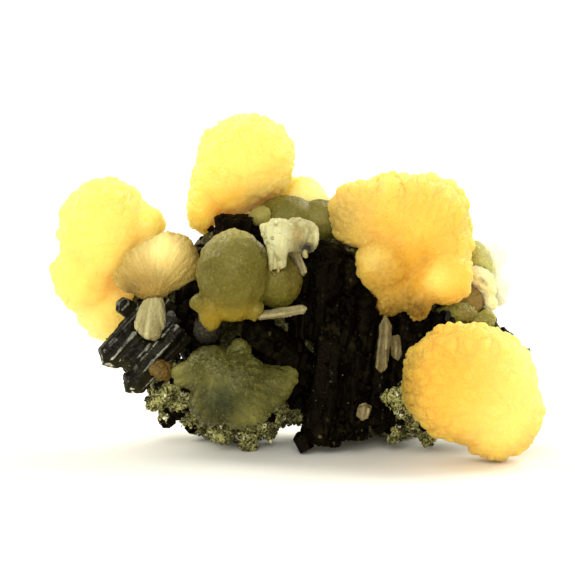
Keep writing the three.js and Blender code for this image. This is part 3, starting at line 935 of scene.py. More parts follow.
@dataclass
class RadiatingGroup(CrystalGroup):
    """Blades that fan out from one or more nuclei, as stilbite and prehnite grow.

    Attributes:
        nuclei: Where the blades start, as fractions of the node's box.
        reach: The distance from the nucleus at which the spacings hold.
        spacing: The distance between bundles, blades and fine tips.
        lift: How far each of those stands out.
        step: How far neighbouring bundles and blades end apart from one another.
        banding: How deep the growth bands are, which run round the first nucleus.
        radial: How strictly the relief runs along the rays, from 0 to 1.
        calm: How much flatter the relief is where the surface faces the front or the back.
        fan: How much the rays spread along each axis, less than 1 where the blades fan out in a plane.
    """

    nuclei: Sequence[Point] = ((0.5, 0.5, 0.5),)
    reach: float = 7.0
    spacing: Point = (4.4, 1.9, 0.75)
    lift: Point = (0.4, 0.5, 0.16)
    step: Range = (0.6, 0.4)
    banding: float = 0.0
    radial: float = 0.7
    calm: float = 0.72
    fan: Point = (1.0, 1.0, 1.0)

    NEAREST_WINS = 4
    SHORTEST = 0.5
    WANDER = 0.5
    WANDER_SCALE = 2.0
    FLATTEST = 0.5
    BAND = 0.55
    BAND_DRIFT = 0.8
    TIP_SHARES = (0.3, 0.4, 0.3)
    TIP_CONTRAST = 1.8

    def relief(self, skin: Skin) -> tuple[np.ndarray, dict[str, np.ndarray]]:
        """Raise bundles, blades and tips that all point away from the nearest nucleus.

        Args:
            skin: The smooth form.

        Returns:
            A height for each point, and named numbers for each point.
        """
        starts = self.inside(self.nuclei)
        away = (skin.points[:, None, :] - starts[None, :, :]) * np.array(self.fan)
        distance = np.linalg.norm(away, axis=2)
        share = 1.0 / np.maximum(distance, self.SHORTEST) ** self.NEAREST_WINS
        share /= share.sum(axis=1, keepdims=True)
        ray = (away / np.maximum(distance, TINY)[:, :, None] * share[:, :, None]).sum(axis=1)
        ray /= np.maximum(np.linalg.norm(ray, axis=1), TINY)[:, None]
        centre = (starts[None, :, :] * share[:, :, None]).sum(axis=1)
        rayed = self.radial * (centre + ray * self.reach) + (1 - self.radial) * skin.points
        wander = soft_noise(skin.points, self.WANDER_SCALE, self.seed + 7)[:, None]
        rayed = rayed + self.WANDER * (1 - self.radial) * wander
        bundles = Cells.of(rayed, self.spacing[0], self.seed)
        blades = Cells.of(rayed, self.spacing[1], self.seed + 1)
        tips = Cells.of(skin.points, self.spacing[2], self.seed + 2)
        height = self.lift[0] * (bundles.pillow - MEAN_PILLOW) + self.step[0] * (bundles.tag - MEAN_TAG)
        height += self.lift[1] * (blades.pillow - MEAN_PILLOW) + self.step[1] * (blades.tag - MEAN_TAG)
        height += self.lift[2] * (tips.pillow - MEAN_PILLOW)
        height *= np.clip(distance.min(axis=1) / self.reach, self.FLATTEST, 1.0)
        height *= 1 - self.calm * np.abs(skin.normals[:, 1])
        if self.banding:
            drift = self.BAND_DRIFT * ray
            ring = np.stack([distance[:, 0] / self.BAND, drift[:, 0], drift[:, 2]], axis=1)
            height += self.banding * soft_noise(ring, 1.0, self.seed + 3)
        # The tip mark is highest on the raised middles and falls to 0 in the creases: the translucent
        # finishes paint it as highlight on the tips and as shade in the creases.
        bundle, blade, tip = self.TIP_SHARES
        mark = bundle * bundles.pillow + blade * blades.pillow + tip * tips.pillow * blades.tag
        return height, {"tip": mark**self.TIP_CONTRAST}


@dataclass
class StriatedPrisms(CrystalGroup):
    """Prisms or blades with flat faces that are striated along their length.

    Attributes:
        axis: The direction that the prisms share.
        ridge: The spacing of the ridges across a face.
        ridge_lift: How far the ridges stand out.
        stria: The spacing of the fine lines.
        stria_lift: How deep the lines are.
        chips: How deep the breaks in the faces are.
    """

    finish: Finish = BLACK
    weave: Weave = FACETED
    axis: Point = (0.0, 0.0, 1.0)
    ridge: float = 1.3
    ridge_lift: float = 0.3
    stria: float = 0.4
    stria_lift: float = 0.06
    chips: float = 1.0

    RIDGE_DRIFT = 0.22
    STRIA_DRIFT = 0.12
    BREAK_DRIFT = 0.6
    BREAK = 1.5
    BREAK_LEVEL = 0.6
    CHIPPED_AREA = 4.0
    CHIPPED = (0.35, 1.6)
    CRUMB = 0.8
    CRUMB_LIFT = 0.16
    CRUMB_LEVEL = 0.5
    SMOOTHER_SIDES = 0.7
    LINE_TONE = (0.5, 0.6)
    LINE_CONTRAST = 1.6
    TIP_TONE = (0.6, 0.4)
    CRUMB_TONE = (0.2, 0.4, 0.25, 0.25)

    def relief(self, skin: Skin) -> tuple[np.ndarray, dict[str, np.ndarray]]:
        """Draw ridges and lines along the prisms' own axis, and break the faces here and there.

        Args:
            skin: The smooth form.

        Returns:
            A height for each point, and named numbers for each point.
        """
        axis = np.array(self.axis) / np.linalg.norm(self.axis)
        along = (skin.points @ axis)[:, None] * axis
        across = skin.points - along
        ridges = Cells.of(across + self.RIDGE_DRIFT * along, self.ridge, self.seed)
        lines = soft_noise(across / self.stria + along * self.STRIA_DRIFT, 1.0, self.seed + 5)
        breaks = Cells.of(across + self.BREAK_DRIFT * along, self.BREAK, self.seed + 6)
        common, varied = self.CHIPPED
        areas = soft_noise(skin.points, self.CHIPPED_AREA, self.seed + 8)
        chipped = np.clip(common + areas * varied, 0, 1)
        sides = 1 - np.abs(skin.normals @ axis) ** 2
        crumbs = Cells.of(skin.points, self.CRUMB, self.seed + 9)
        height = sides * (self.ridge_lift * (ridges.tag - MEAN_TAG) + self.stria_lift * lines)
        height += self.chips * chipped * (breaks.tag - self.BREAK_LEVEL)
        ends = 1 - self.SMOOTHER_SIDES * sides
        height += ends * self.CRUMB_LIFT * (crumbs.pillow - self.CRUMB_LEVEL)
        # The tip mark runs along the fine lines: the dark finishes paint it as highlight lines of sheen,
        # and the translucent ones paint highlight on it and shade between.
        common, varied = self.LINE_TONE
        pale = np.clip(common + varied * lines, 0, 1) ** self.LINE_CONTRAST
        common, varied = self.TIP_TONE
        least, ended, ridged, broken = self.CRUMB_TONE
        crumb = least + ended * (1 - sides) + ridged * ridges.tag + broken * chipped * breaks.tag
        return height, {"tip": pale * (common + varied * crumbs.tag), "crumb": crumb}


@dataclass
class GranularMass(CrystalGroup):
    """Granular epidote: crumbs low down, and dark blocky crystals higher up.

    Attributes:
        crumbly_below: The height under which the mass is all crumbs.
        blocky_above: The height over which it is all blocks.
    """

    finish: DarkFinish = CRUMBLY
    weave: Weave = RUBBLE
    swell: float = -0.1
    crumbly_below: float = 9.0
    blocky_above: float = 17.0

    PEBBLE = 1.3
    PEBBLE_LIFT = 0.3
    PEBBLE_STEP = 0.4
    CRUMB = 0.7
    CRUMB_LIFT = 0.2
    UPRIGHT = (1.0, 1.0, 0.3)
    BLOCK = 2.3
    BLOCK_STEP = 1.0
    SPLINTER = 0.9
    SPLINTER_STEP = 0.35
    FULL_RELIEF = 0.8
    CLEAN_ABOVE = 0.85

    def relief(self, skin: Skin) -> tuple[np.ndarray, dict[str, np.ndarray]]:
        """Break the surface into crumbs below and upright blocks above.

        Args:
            skin: The smooth form.

        Returns:
            A height for each point, and named numbers for each point.
        """
        points = skin.points
        belt = self.blocky_above - self.crumbly_below
        high = eased(np.clip((points[:, 2] - self.crumbly_below) / belt, 0, 1))
        pebbles = Cells.of(points, self.PEBBLE, self.seed)
        crumbs = Cells.of(points, self.CRUMB, self.seed + 1)
        upright = points * np.array(self.UPRIGHT)
        blocks = Cells.of(upright, self.BLOCK, self.seed + 2)
        splinters = Cells.of(upright, self.SPLINTER, self.seed + 3)
        low_lift = self.PEBBLE_LIFT * (pebbles.pillow - MEAN_PILLOW)
        low_lift += self.PEBBLE_STEP * (pebbles.tag - MEAN_TAG)
        low_lift += self.CRUMB_LIFT * (crumbs.pillow - MEAN_PILLOW)
        high_lift = self.BLOCK_STEP * (blocks.tag - MEAN_TAG)
        high_lift += self.SPLINTER_STEP * (splinters.tag - MEAN_TAG)
        height = (1 - high) * low_lift + high * high_lift
        grounded = np.clip(points[:, 2] / self.FULL_RELIEF, 0, 1)
        crumb = 1 - self.CLEAN_ABOVE * high
        return height * grounded, {"tip": crumbs.pillow * crumbs.tag, "crumb": crumb}


@dataclass
class LooseCrystals:
    """Small crystals that stand out of the groups that carry them, joined in one piece.

    Attributes:
        name: The piece's name.
        hosts: The nodes that they grow on.
        count: How many there are.
        length: The shortest and longest of them.
        stoutness: Their width against their length, least and most.
        finish: What they are made of.
        crumb: The least and most of the crumb tone that they take.
        axis: The way that they point, or nothing where they point outwards.
        scatter: How far each turns away from that.
        heights: The heights between which they grow.
        sunk: How deep their foot lies in the host, as a share of their length.
        seed: The seed of their places, sizes and turns.
    """

    name: str
    hosts: Sequence[str]
    count: int
    length: Range
    stoutness: Range
    finish: Finish
    crumb: Range
    axis: Optional[Point] = None
    scatter: float = 0.7
    heights: Range = (0.4, 60.0)
    sunk: float = 0.3
    seed: int = 77

    SECTION = ((1.0, 0.15), (0.55, 0.8), (-0.6, 0.8), (-1.0, -0.1), (-0.5, -0.8), (0.6, -0.8))
    RADIUS = 0.5
    SHOULDER = 0.8
    CHISEL = ((-0.25, 0.0, 1.0), (0.25, 0.0, 0.98))
    CHISEL_FACES = ((7, 8, 12, 13), (10, 11, 13, 12), (6, 7, 13), (11, 6, 13), (8, 9, 12), (9, 10, 12))
    OUTWARD = 0.45
    CLEARANCE = 0.05
    ROOT_TONE = (0.4, 0.6)
    ROOT_END = 0.3

    def column(self) -> tuple[list[Point], list[tuple[int, ...]]]:
        """Build the sides and the foot of one crystal of unit size.

        Returns:
            Its points, foot first, and its faces.
        """
        sides = len(self.SECTION)
        levels = (-self.sunk, self.SHOULDER - self.sunk)
        points = [(self.RADIUS * x, self.RADIUS * y, z) for z in levels for x, y in self.SECTION]
        faces: list[tuple[int, ...]] = [tuple(reversed(range(sides)))]
        faces += [(i, (i + 1) % sides, sides + (i + 1) % sides, sides + i) for i in range(sides)]
        return points, faces

    def template(self) -> tuple[np.ndarray, list[tuple[int, ...]]]:
        """Build one crystal of unit size: a six-sided prism with a chisel end.

        Returns:
            Its points, N by 3, and its faces.
        """
        points, faces = self.column()
        points += [(x, y, z - self.sunk) for x, y, z in self.CHISEL]
        return np.array(points), faces + list(self.CHISEL_FACES)

    def spots(self, random: Draws) -> tuple[np.ndarray, np.ndarray]:
        """Pick places on the hosts.

        Args:
            random: The source of the picks.

        Returns:
            The places, and the way that the surface faces at each of them.
        """
        triangles = []
        for host in self.hosts:
            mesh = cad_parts[host].data
            mesh.calc_loop_triangles()
            triangles += [[mesh.vertices[i].co for i in tri.vertices] for tri in mesh.loop_triangles]
        corners = np.array(triangles) / MM
        cross = np.cross(corners[:, 1] - corners[:, 0], corners[:, 2] - corners[:, 0])
        area = np.linalg.norm(cross, axis=1)
        height = corners[:, :, 2].mean(axis=1)
        weight = area * (height > self.heights[0]) * (height < self.heights[1])
        picked = random.choice(len(area), self.count, p=weight / weight.sum())
        u, v = random.random((2, self.count))
        over = u + v > 1
        u, v = np.where(over, 1 - u, u), np.where(over, 1 - v, v)
        a, b, c = corners[picked, 0], corners[picked, 1], corners[picked, 2]
        places = a + u[:, None] * (b - a) + v[:, None] * (c - a)
        return places, (cross / np.maximum(area, AREA_FLOOR)[:, None])[picked]

    def placed(self, shape: np.ndarray, place: np.ndarray, out: np.ndarray, random: Draws) -> np.ndarray:
        """Set one crystal in its place.

        Args:
            shape: The points of a crystal of unit size.
            place: Where it grows.
            out: The way that the surface faces there.
            random: The source of its size and its turn.

        Returns:
            Its points, N by 3.
        """
        axis = Vector(out) if self.axis is None else Vector(self.axis) + self.OUTWARD * Vector(out)
        axis = axis.normalized() + Vector(random.normal(0, self.scatter, 3))
        turn = np.array(axis.to_track_quat("Z", "X").to_matrix())
        spin = random.random() * math.tau
        length = between(self.length, random.random() ** 2)
        girth = length * between(self.stoutness, random.random())
        cos, sin = math.cos(spin), math.sin(spin)
        spun = (shape * (girth, girth, length)) @ np.array([[cos, sin, 0], [-sin, cos, 0], [0, 0, 1]])
        points = spun @ turn.T + place
        points[:, 2] += max(0.0, self.CLEARANCE - points[:, 2].min())
        return points

    def build(self) -> bpy.types.Object:
        """Set the crystals and join them in one piece.

        Returns:
            The piece.
        """
        random = np.random.default_rng(self.seed)
        shape, faces = self.template()
        low_tone, added_tone = self.ROOT_TONE
        points, all_faces, tips, crumbs = [], [], [], []
        for place, out in zip(*self.spots(random)):
            all_faces += [tuple(i + len(shape) * len(points) for i in face) for face in faces]
            points.append(self.placed(shape, place, out, random))
            tone = random.random()
            tips += [tone * (low_tone + added_tone * (z > self.ROOT_END)) for z in shape[:, 2]]
            crumbs += [between(self.crumb, tone)] * len(shape)
        mesh = bpy.data.meshes.new(self.name)
        mesh.from_pydata((np.concatenate(points) * MM).tolist(), [], all_faces)
        for name, values in (("tip", tips), ("crumb", crumbs)):
            layer = mesh.attributes.new(name, "FLOAT", "POINT")
            layer.data.foreach_set("value", np.array(values, np.float32))
        mesh.materials.append(self.finish.material())
        made = shown(self.name, mesh)
        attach(made, BODY)
        log.info("%s: %d faces", made.name, len(mesh.polygons))
        return made


@dataclass
class LooseGrains(LooseCrystals):
    """Grains too small to show a prism's faces: four-sided, with a pointed end."""

    SECTION = ((1.0, 0.1), (-0.1, 0.9), (-1.0, -0.1), (0.1, -0.8))
    SHOULDER = 0.7
    POINT = (0.1, 0.0, 1.0)

    def template(self) -> tuple[np.ndarray, list[tuple[int, ...]]]:
        """Build one grain of unit size.

        Returns:
            Its points, N by 3, and its faces.
        """
        points, faces = self.column()
        sides = len(self.SECTION)
        x, y, z = self.POINT
        points.append((x, y, z - self.sunk))
        faces += [(sides + i, sides + (i + 1) % sides, 2 * sides) for i in range(sides)]
        return np.array(points), faces


@dataclass
class StilbiteBalls:
    """The honey and lemon balls of radiating blades."""

    def groups(self) -> Iterator[CrystalGroup]:
        """Go through the balls with their own habits, staining and painted shade and highlights.

        Returns:
            The balls, one by one.
        """
        yield RadiatingGroup(
            "stilbite_ball_left", LEMON, nuclei=((0.53, 0.45, 0.7), (0.45, 0.5, 0.3)), seed=11,
            # The deep patch is painted shade in the crease beside the left sheaf.
            stains=spotted(deep=[(-31, 3, 23, 5.5, 0.45)], pale=[(-36, 6, 16, 5.0, 0.8)]),
        )
        yield RadiatingGroup(
            "stilbite_ball_top", LEMON, nuclei=((0.6, 0.5, 0.62), (0.35, 0.5, 0.25)), seed=12,
            stains=spotted(
                deep=[(-14, 3, 36, 4.5, 0.9), (-10, 1.5, 39.5, 3.5, 0.6)],
                dull=[(-5, 1.0, 40, 3.2, 0.7)],
            ),
        )
        yield RadiatingGroup(
            "stilbite_ball_top_small", LEMON, seed=13, stains=spotted(pale=[(4, 8, 40, 4.0, 0.8)]),
        )
        yield RadiatingGroup(
            "stilbite_ball_right", HONEY, FILLED,
            nuclei=(
                (0.6, 0.4, 0.52), (0.3, 0.45, 0.62), (0.35, 0.26, 0.38), (0.8, 0.28, 0.31),
                (0.41, 0.34, 0.19), (0.62, 0.26, 0.12),
            ),
            reach=8.0, fan=(1.0, 0.45, 1.0), lift=(0.4, 0.6, 0.16), step=(0.6, 0.5), seed=14,
            # The deep patches are painted shade in the creases between the lobes; the dull patches are
            # painted shade on the dim upper left, in the creases and on the lower tails; the pale patches
            # are painted highlights on the lobes and on top.
            stains=spotted(
                deep=[
                    (20.3, -5, 32.0, 2.8, 1.0), (18.6, -6, 28.0, 2.0, 0.9), (16.9, -6, 31.9, 2.0, 0.7),
                    (14.1, -6, 37.2, 2.6, 0.5), (18.0, -6, 26.4, 1.8, 0.8),
                ],
                dull=[
                    (7.5, -4, 38, 4.5, 0.6), (20.5, -6, 31.0, 1.4, 0.2), (13.6, -7, 29.2, 4.6, 0.55),
                    (15.0, -6, 22.6, 3.0, 0.95), (18.0, -6, 26.0, 1.6, 0.3), (19.8, -6, 23.0, 2.6, 0.95),
                    (24.5, -7, 24.0, 2.2, 0.3),
                ],
                pale=[
                    (7.5, -4, 38, 4.5, 0.7), (12.2, -8, 31.8, 2.2, 0.8), (22.3, -8, 28.4, 2.2, 0.5),
                    (15.0, 0, 43.5, 5.0, 0.35), (24, 2, 43, 5.0, 0.5),
                ],
            ),
        )
        yield RadiatingGroup(
            "stilbite_ball_front", HONEY, nuclei=((0.5, 0.5, 0.55), (0.7, 0.5, 0.36)), reach=10.0,
            fan=(1.0, 0.5, 1.0), lift=(0.4, 0.55, 0.16), step=(0.6, 0.45), seed=15,
            # The deep and dull patches are painted shade on the left and lower side, away from the light;
            # the pale patches are painted light on the lit right side.
            stains=spotted(
                deep=[(25, -20, 16, 7.0, 0.9)],
                dull=[(16.0, -14, 12, 5.0, 0.7), (20, -14, 18, 6.0, 0.12)],
                pale=[(37, -14, 14, 8.5, 1.1), (32, -18, 6, 5.0, 0.5)],
            ),
        )
        yield RadiatingGroup("stilbite_ball_back", HONEY, nuclei=((0.4, 0.5, 0.6),), seed=16)
        yield RadiatingGroup(
            "stilbite_ball_rear_right", PEARL, SMALL_ROUNDED, reach=3.0, seed=17,
            stains=spotted(pale=[(33, 6, 27, 8.0, 0.6)]),
        )
        yield RadiatingGroup(
            "stilbite_patch_right", AMBER, SMALL_ROUNDED, reach=3.0, seed=18,
            stains=spotted(pale=[(27.5, 0, 24, 3.2, 1.0)]),
        )
        yield RadiatingGroup(
            "stilbite_bud_left", AMBER, SMALL_ROUNDED, reach=2.0, spacing=(1.6, 0.9, 0.4),
            lift=(0.35, 0.2, 0.05), step=(0.5, 0.2), calm=0.0, seed=19,
            stains=spotted(pale=[(-22.5, -7, 13.5, 1.2, 0.25)]),
        )


@dataclass
class StilbiteSheaves:
    """The bow-tie sheaves and the single blades.

    Attributes:
        spacing: The distance between bundles, blades and fine tips on the large sheaf.
        blades: The name, the direction and the seed of each single blade.
    """

    spacing: Point = (2.0, 0.8, 0.45)
    blades: Sequence[tuple[str, Point, int]] = (
        ("stilbite_blade_under_ball", (1.0, 0.0, 0.13), 31),
        ("stilbite_blade_tall", (0.05, 0.0, 1.0), 32),
        ("stilbite_blade_short", (0.1, 0.0, 1.0), 33),
        ("stilbite_blade_low", (0.1, 0.0, 1.0), 34),
        ("stilbite_blade_beside_ball", (0.35, 0.0, -1.0), 35),
    )

    def groups(self) -> Iterator[CrystalGroup]:
        """Go through the sheaves and blades with their own habits, staining and painted shade and
        highlights.

        Returns:
            The sheaves and blades, one by one.
        """
        yield RadiatingGroup(
            "stilbite_sheaf_left", TAN, nuclei=((0.5, 0.3, 0.12),), reach=7.0, spacing=self.spacing,
            lift=(0.16, 0.22, 0.08), step=(0.26, 0.2), radial=0.95, calm=0.3, fan=(1.0, 0.2, 1.0),
            seed=21,
            # The pale patch is a painted highlight on the lit top; the deep and dull patches are painted
            # shade on the lower part.
            stains=spotted(
                pale=[(-21, -3, 33.4, 4.0, 1.05)],
                deep=[(-22, -3, 28.0, 5.0, 0.6)],
                dull=[(-15, -2, 26.5, 3.4, 0.3), (-20.5, -5, 25.2, 3.2, 0.3), (-26, -2, 25.5, 2.6, 0.8)],
            ),
        )
        yield RadiatingGroup(
            "stilbite_stem_left", IVORY, STUMP, nuclei=((0.6, 0.5, 1.3),), reach=8.0,
            spacing=(1.6, 0.7, 0.45), lift=(0.08, 0.1, 0.08), step=(0.14, 0.12), radial=0.9, calm=0.2,
            fan=(1.0, 0.2, 1.0), seed=24,
            stains=spotted(dull=[(-19.5, -4, 22, 1.6, 0.5)], deep=[(-22, -4, 20, 3.0, 0.6)]),
        )
        yield StriatedPrisms(
            "stilbite_sheaf_top", CREAM, CLEAVED, axis=(0.1, 0.0, 1.0), ridge=1.2, ridge_lift=0.25,
            chips=0.4, seed=22,
            stains=spotted(
                dull=[(1.9, -10, 33.0, 1.8, 1.4)],
                deep=[(0.4, -10, 35.6, 1.6, 0.9)],
                pale=[(-2.9, -11, 36.0, 2.6, 0.9), (3.4, -9, 35.4, 1.3, 0.9)],
            ),
        )
        yield RadiatingGroup(
            "stilbite_sheaf_right", SHELL, SHEAF_ENDS, nuclei=((0.2, 0.5, 0.8),), reach=3.5,
            spacing=(1.4, 0.7, 0.4), lift=(0.3, 0.24, 0.08), step=(0.3, 0.2), calm=0.2, seed=23,
            stains=spotted(
                dull=[
                    (29.9, 2.4, 27.3, 0.4, 0.7), (30.3, 2.5, 26.8, 0.4, 0.8),
                    (30.9, 2.5, 26.3, 0.35, 0.7),
                ],
                deep=[(29.2, 2.5, 24.6, 1.6, 0.8)],
            ),
        )
        for name, axis, seed in self.blades:
            yield self.blade(name, axis, seed)

    def blade(self, node: str, axis: Point, seed: int) -> StriatedPrisms:
        """Describe one single blade, which points along its axis."""
        return StriatedPrisms(
            node, TAN_IN_SHADE, THIN_BLADE, axis=axis, ridge=0.6, ridge_lift=0.12, chips=0.12, seed=seed,
        )

    def crystals(self) -> Iterator[LooseCrystals]:
        """Go through the layers of loose blades."""
        yield LooseCrystals(
            "stilbite_flakes", ("stilbite_sheaf_top",), count=40, length=(0.7, 1.8), stoutness=(0.4, 0.7),
            finish=CREAM, crumb=(0.0, 0.5), axis=(0.0, 0.0, 1.0), scatter=0.3, sunk=0.72, seed=81,
        )


@dataclass
class PrehniteBalls:
    """The olive and sea-green balls and crusts.

    Attributes:
        spacing: The distance between bundles, blades and fine tips.
        lift: How far each of those stands out.
        step: How far neighbouring bundles and blades end apart from one another.
        swell: How far they grow to meet their neighbours.
    """

    spacing: Point = (2.4, 1.0, 0.5)
    lift: Point = (0.14, 0.14, 0.09)
    step: Range = (0.1, 0.1)
    swell: float = 0.16

    def ball(self, node: str, finish: TranslucentFinish, seed: int, **own: object) -> RadiatingGroup:
        """Describe one ball or crust, which has the common habit wherever it has none of its own."""
        return RadiatingGroup(node, finish, seed=seed, **({"weave": CRUST} | vars(self) | own))

    def groups(self) -> Iterator[CrystalGroup]:
        """Go through the balls and crusts with their own staining and painted shade and highlights.

        Returns:
            The balls and crusts, one by one.
        """
        yield self.ball(
            "prehnite_ball_main", OLIVE, 41, nuclei=((0.3, 0.1, 0.35),), banding=0.07,
            # The deep patch is painted shade on the side; the pale patch is a painted highlight on the
            # upper part; the two dull patches low on the left are the real yellow-ochre drips.
            stains=spotted(
                dull=[(-8, -12, 22, 3.0, 0.8), (-13, -11, 23, 2.6, 0.8), (2, -6, 26, 2.0, 0.35)],
                deep=[(0.5, -6, 30, 3.6, 0.8)],
                pale=[(-10, -8, 36, 4.0, 0.75)],
            ),
        )
        yield self.ball(
            "prehnite_ball_low", SEA_GREEN_IN_SHADE, 42, nuclei=((0.36, 0.5, 0.72),), reach=7.0, radial=0.9, calm=0.3,
            fan=(1.0, 0.3, 1.0), weave=WORN, swell=0.3, spacing=(3.0, 0.9, 0.5), lift=(0.12, 0.2, 0.14),
            step=(0.4, 0.24),
            stains=spotted(
                pale=[
                    (-6.5, -12, 6.3, 3.8, 0.5), (-18.5, -9, 13.5, 2.4, 0.4), (0, -8, 12, 2.8, 0.45),
                    (-5, -10, 18, 2.8, 0.4), (-12.5, -11, 12.5, 1.6, 0.5),
                ],
                dull=[(-11.5, -12, 9.5, 3.2, 0.9)],
            ),
        )
        yield self.ball("prehnite_crust_top", OLIVE, 43, stains=spotted(pale=[(4, 0, 39, 4.0, 0.5)]))
        yield self.ball("prehnite_knob_top", OLIVE, 44, stains=spotted(pale=[(-5, 0, 38, 3.0, 0.9)]))
        yield self.ball(
            "prehnite_crust_right", JADE, 45, lift=(0.4, 0.3, 0.1), step=(0.6, 0.4),
            stains=spotted(dull=[(29, -1, 21, 3.0, 0.9)]),
        )
        yield self.ball("prehnite_lens_right", JADE, 46, stains=spotted(pale=[(30, 5, 29, 5.0, 0.4)]))
        yield self.ball("prehnite_lump_grey", SMOKE, 47)
        yield self.ball("prehnite_ball_back", OLIVE, 48)


@dataclass
class EpidoteMass:
    """The prisms, the granular mass that carries everything, and the small crystals on both.

    Attributes:
        axes: The name, the direction and the seed of each group of black prisms.
        upright: The groups of prisms that stand upright.
    """

    axes: Sequence[tuple[str, Point, int]] = (
        ("epidote_prisms_top", (0.0, 0.0, 1.0), 52),
        ("epidote_prisms_upper", (0.03, 0.0, 1.0), 53),
        ("epidote_prisms_centre", (0.15, 0.05, 1.0), 54),
        ("epidote_prism_cross", (-0.78, -0.1, 0.6), 55),
        ("epidote_prisms_shoulder", (0.0, -0.1, 1.0), 56),
        ("epidote_prisms_right", (0.2, 0.05, 1.0), 57),
        ("epidote_prisms_back", (-0.3, 0.5, 0.7), 58),
    )
    upright: Sequence[str] = (
        "epidote_prisms_upper",
        "epidote_prisms_centre",
        "epidote_prisms_right",
        "epidote_prisms_shoulder",
    )

    def groups(self) -> Iterator[CrystalGroup]:
        """Go through the prism groups and the granular mass.

        Returns:
            The groups and the mass, one by one.
        """
        yield StriatedPrisms(
            "epidote_prisms_left", SHEEN_STREAKED, axis=(0.66, 0.3, 0.69), ridge=1.1, ridge_lift=0.4,
            stria_lift=0.12, chips=0.4, seed=51,
        )
        for name, axis, seed in self.axes:
            yield StriatedPrisms(name, axis=axis, seed=seed)
        yield GranularMass("epidote_matrix", seed=61)

    def crystals(self) -> Iterator[LooseCrystals]:
        """Go through the layers of small crystals: crumbly ones first, then clean black ones.

        Returns:
            The layers, one by one.
        """
        mass, cross = ("epidote_matrix",), "epidote_prism_cross"
        grit = ("epidote_prisms_centre", "epidote_prisms_right")
        fine = partial(LooseGrains, stoutness=(0.5, 0.95), finish=CRUMBLY)
        clean = partial(LooseCrystals, finish=BLACK)
        yield fine(
            "epidote_crumbs", mass, 8000, (0.22, 0.6), crumb=(0.1, 1.0), heights=(0.3, 13.0), sunk=0.5,
            seed=77,
        )
        yield fine(
            "epidote_dust", ("prehnite_ball_low",), 520, (0.15, 0.42), crumb=(0.2, 1.0),
            heights=(4.6, 8.2), sunk=0.4, seed=84,
        )
        yield LooseCrystals(
            "epidote_grains", mass, 420, (0.6, 1.5), (0.5, 0.9), CRUMBLY, (0.2, 1.0), heights=(0.6, 13.0),
            sunk=0.5, seed=88,
        )
        yield fine(
            "epidote_grit", grit, 380, (0.15, 0.36), crumb=(0.0, 0.3), heights=(1.0, 16.0), sunk=0.4,
            seed=86,
        )
        yield fine(
            "epidote_specks", ("stilbite_sheaf_left",), 120, (0.1, 0.22), crumb=(0.2, 0.6),
            heights=(24.0, 28.0), sunk=0.4, seed=87,
        )
        yield clean(
            "epidote_stubs", mass, 110, (1.2, 2.8), (0.5, 0.85), crumb=(0.3, 1.0), heights=(3.5, 12.0),
            sunk=0.62, seed=85,
        )
        yield clean(
            "epidote_blocks", mass, 900, (0.8, 2.6), (0.4, 0.8), crumb=(0.1, 0.5), heights=(11.0, 60.0),
            sunk=0.5, seed=78,
        )
        yield clean(
            "epidote_splinters", (*self.upright, cross), 420, (1.2, 3.4), (0.4, 0.8), crumb=(0.0, 0.25),
            axis=(0.1, 0.0, 1.0), scatter=0.35, heights=(4.0, 60.0), sunk=0.65, seed=79,
        )
        yield clean(
            "epidote_chips", (*self.upright, cross, "epidote_prisms_top"), 800, (0.3, 1.0), (0.5, 0.95),
            crumb=(0.1, 0.9), sunk=0.5, seed=80,
        )


@dataclass
class Specimen:
    """The whole cluster, mineral by mineral."""

    balls: StilbiteBalls = field(default_factory=StilbiteBalls)
    sheaves: StilbiteSheaves = field(default_factory=StilbiteSheaves)
    prehnite: PrehniteBalls = field(default_factory=PrehniteBalls)
    epidote: EpidoteMass = field(default_factory=EpidoteMass)

    def build(self) -> None:
        """Build every group of the cluster."""
        for mineral in (self.balls, self.sheaves, self.prehnite, self.epidote):
            for group in mineral.groups():
                group.build()
        for layer in (*self.sheaves.crystals(), *self.epidote.crystals()):
            layer.build()


# ---- Studio ----


@dataclass
class SoftLight:
    """Even light from one side of the room, as from a large soft box far away.

    Attributes:
        name: The lamp's name.
        azimuth: The side that it comes from, in degrees round from the right towards the back.
        elevation: How high it comes from, in degrees.
        strength: Its strength.
        spread: How wide the source looks, in degrees.
        colour: Its colour.
    """

    name: str
    azimuth: float
    elevation: float
    strength: float
    spread: float
    colour: Colour = (1.0, 1.0, 1.0)

    def build(self) -> None:
        """Hang the lamp."""
        data = bpy.data.lights.new(self.name, "SUN")
        data.energy = self.strength
        data.angle = math.radians(self.spread)
        data.color = self.colour
        lamp = shown(self.name, data)
        side, rise = math.radians(self.azimuth), math.radians(self.elevation)
        level = math.cos(rise)
        place = Vector((math.cos(side) * level, math.sin(side) * level, math.sin(rise)))
        lamp.location = place
        lamp.rotation_euler = (-place).to_track_quat("-Z", "Y").to_euler()


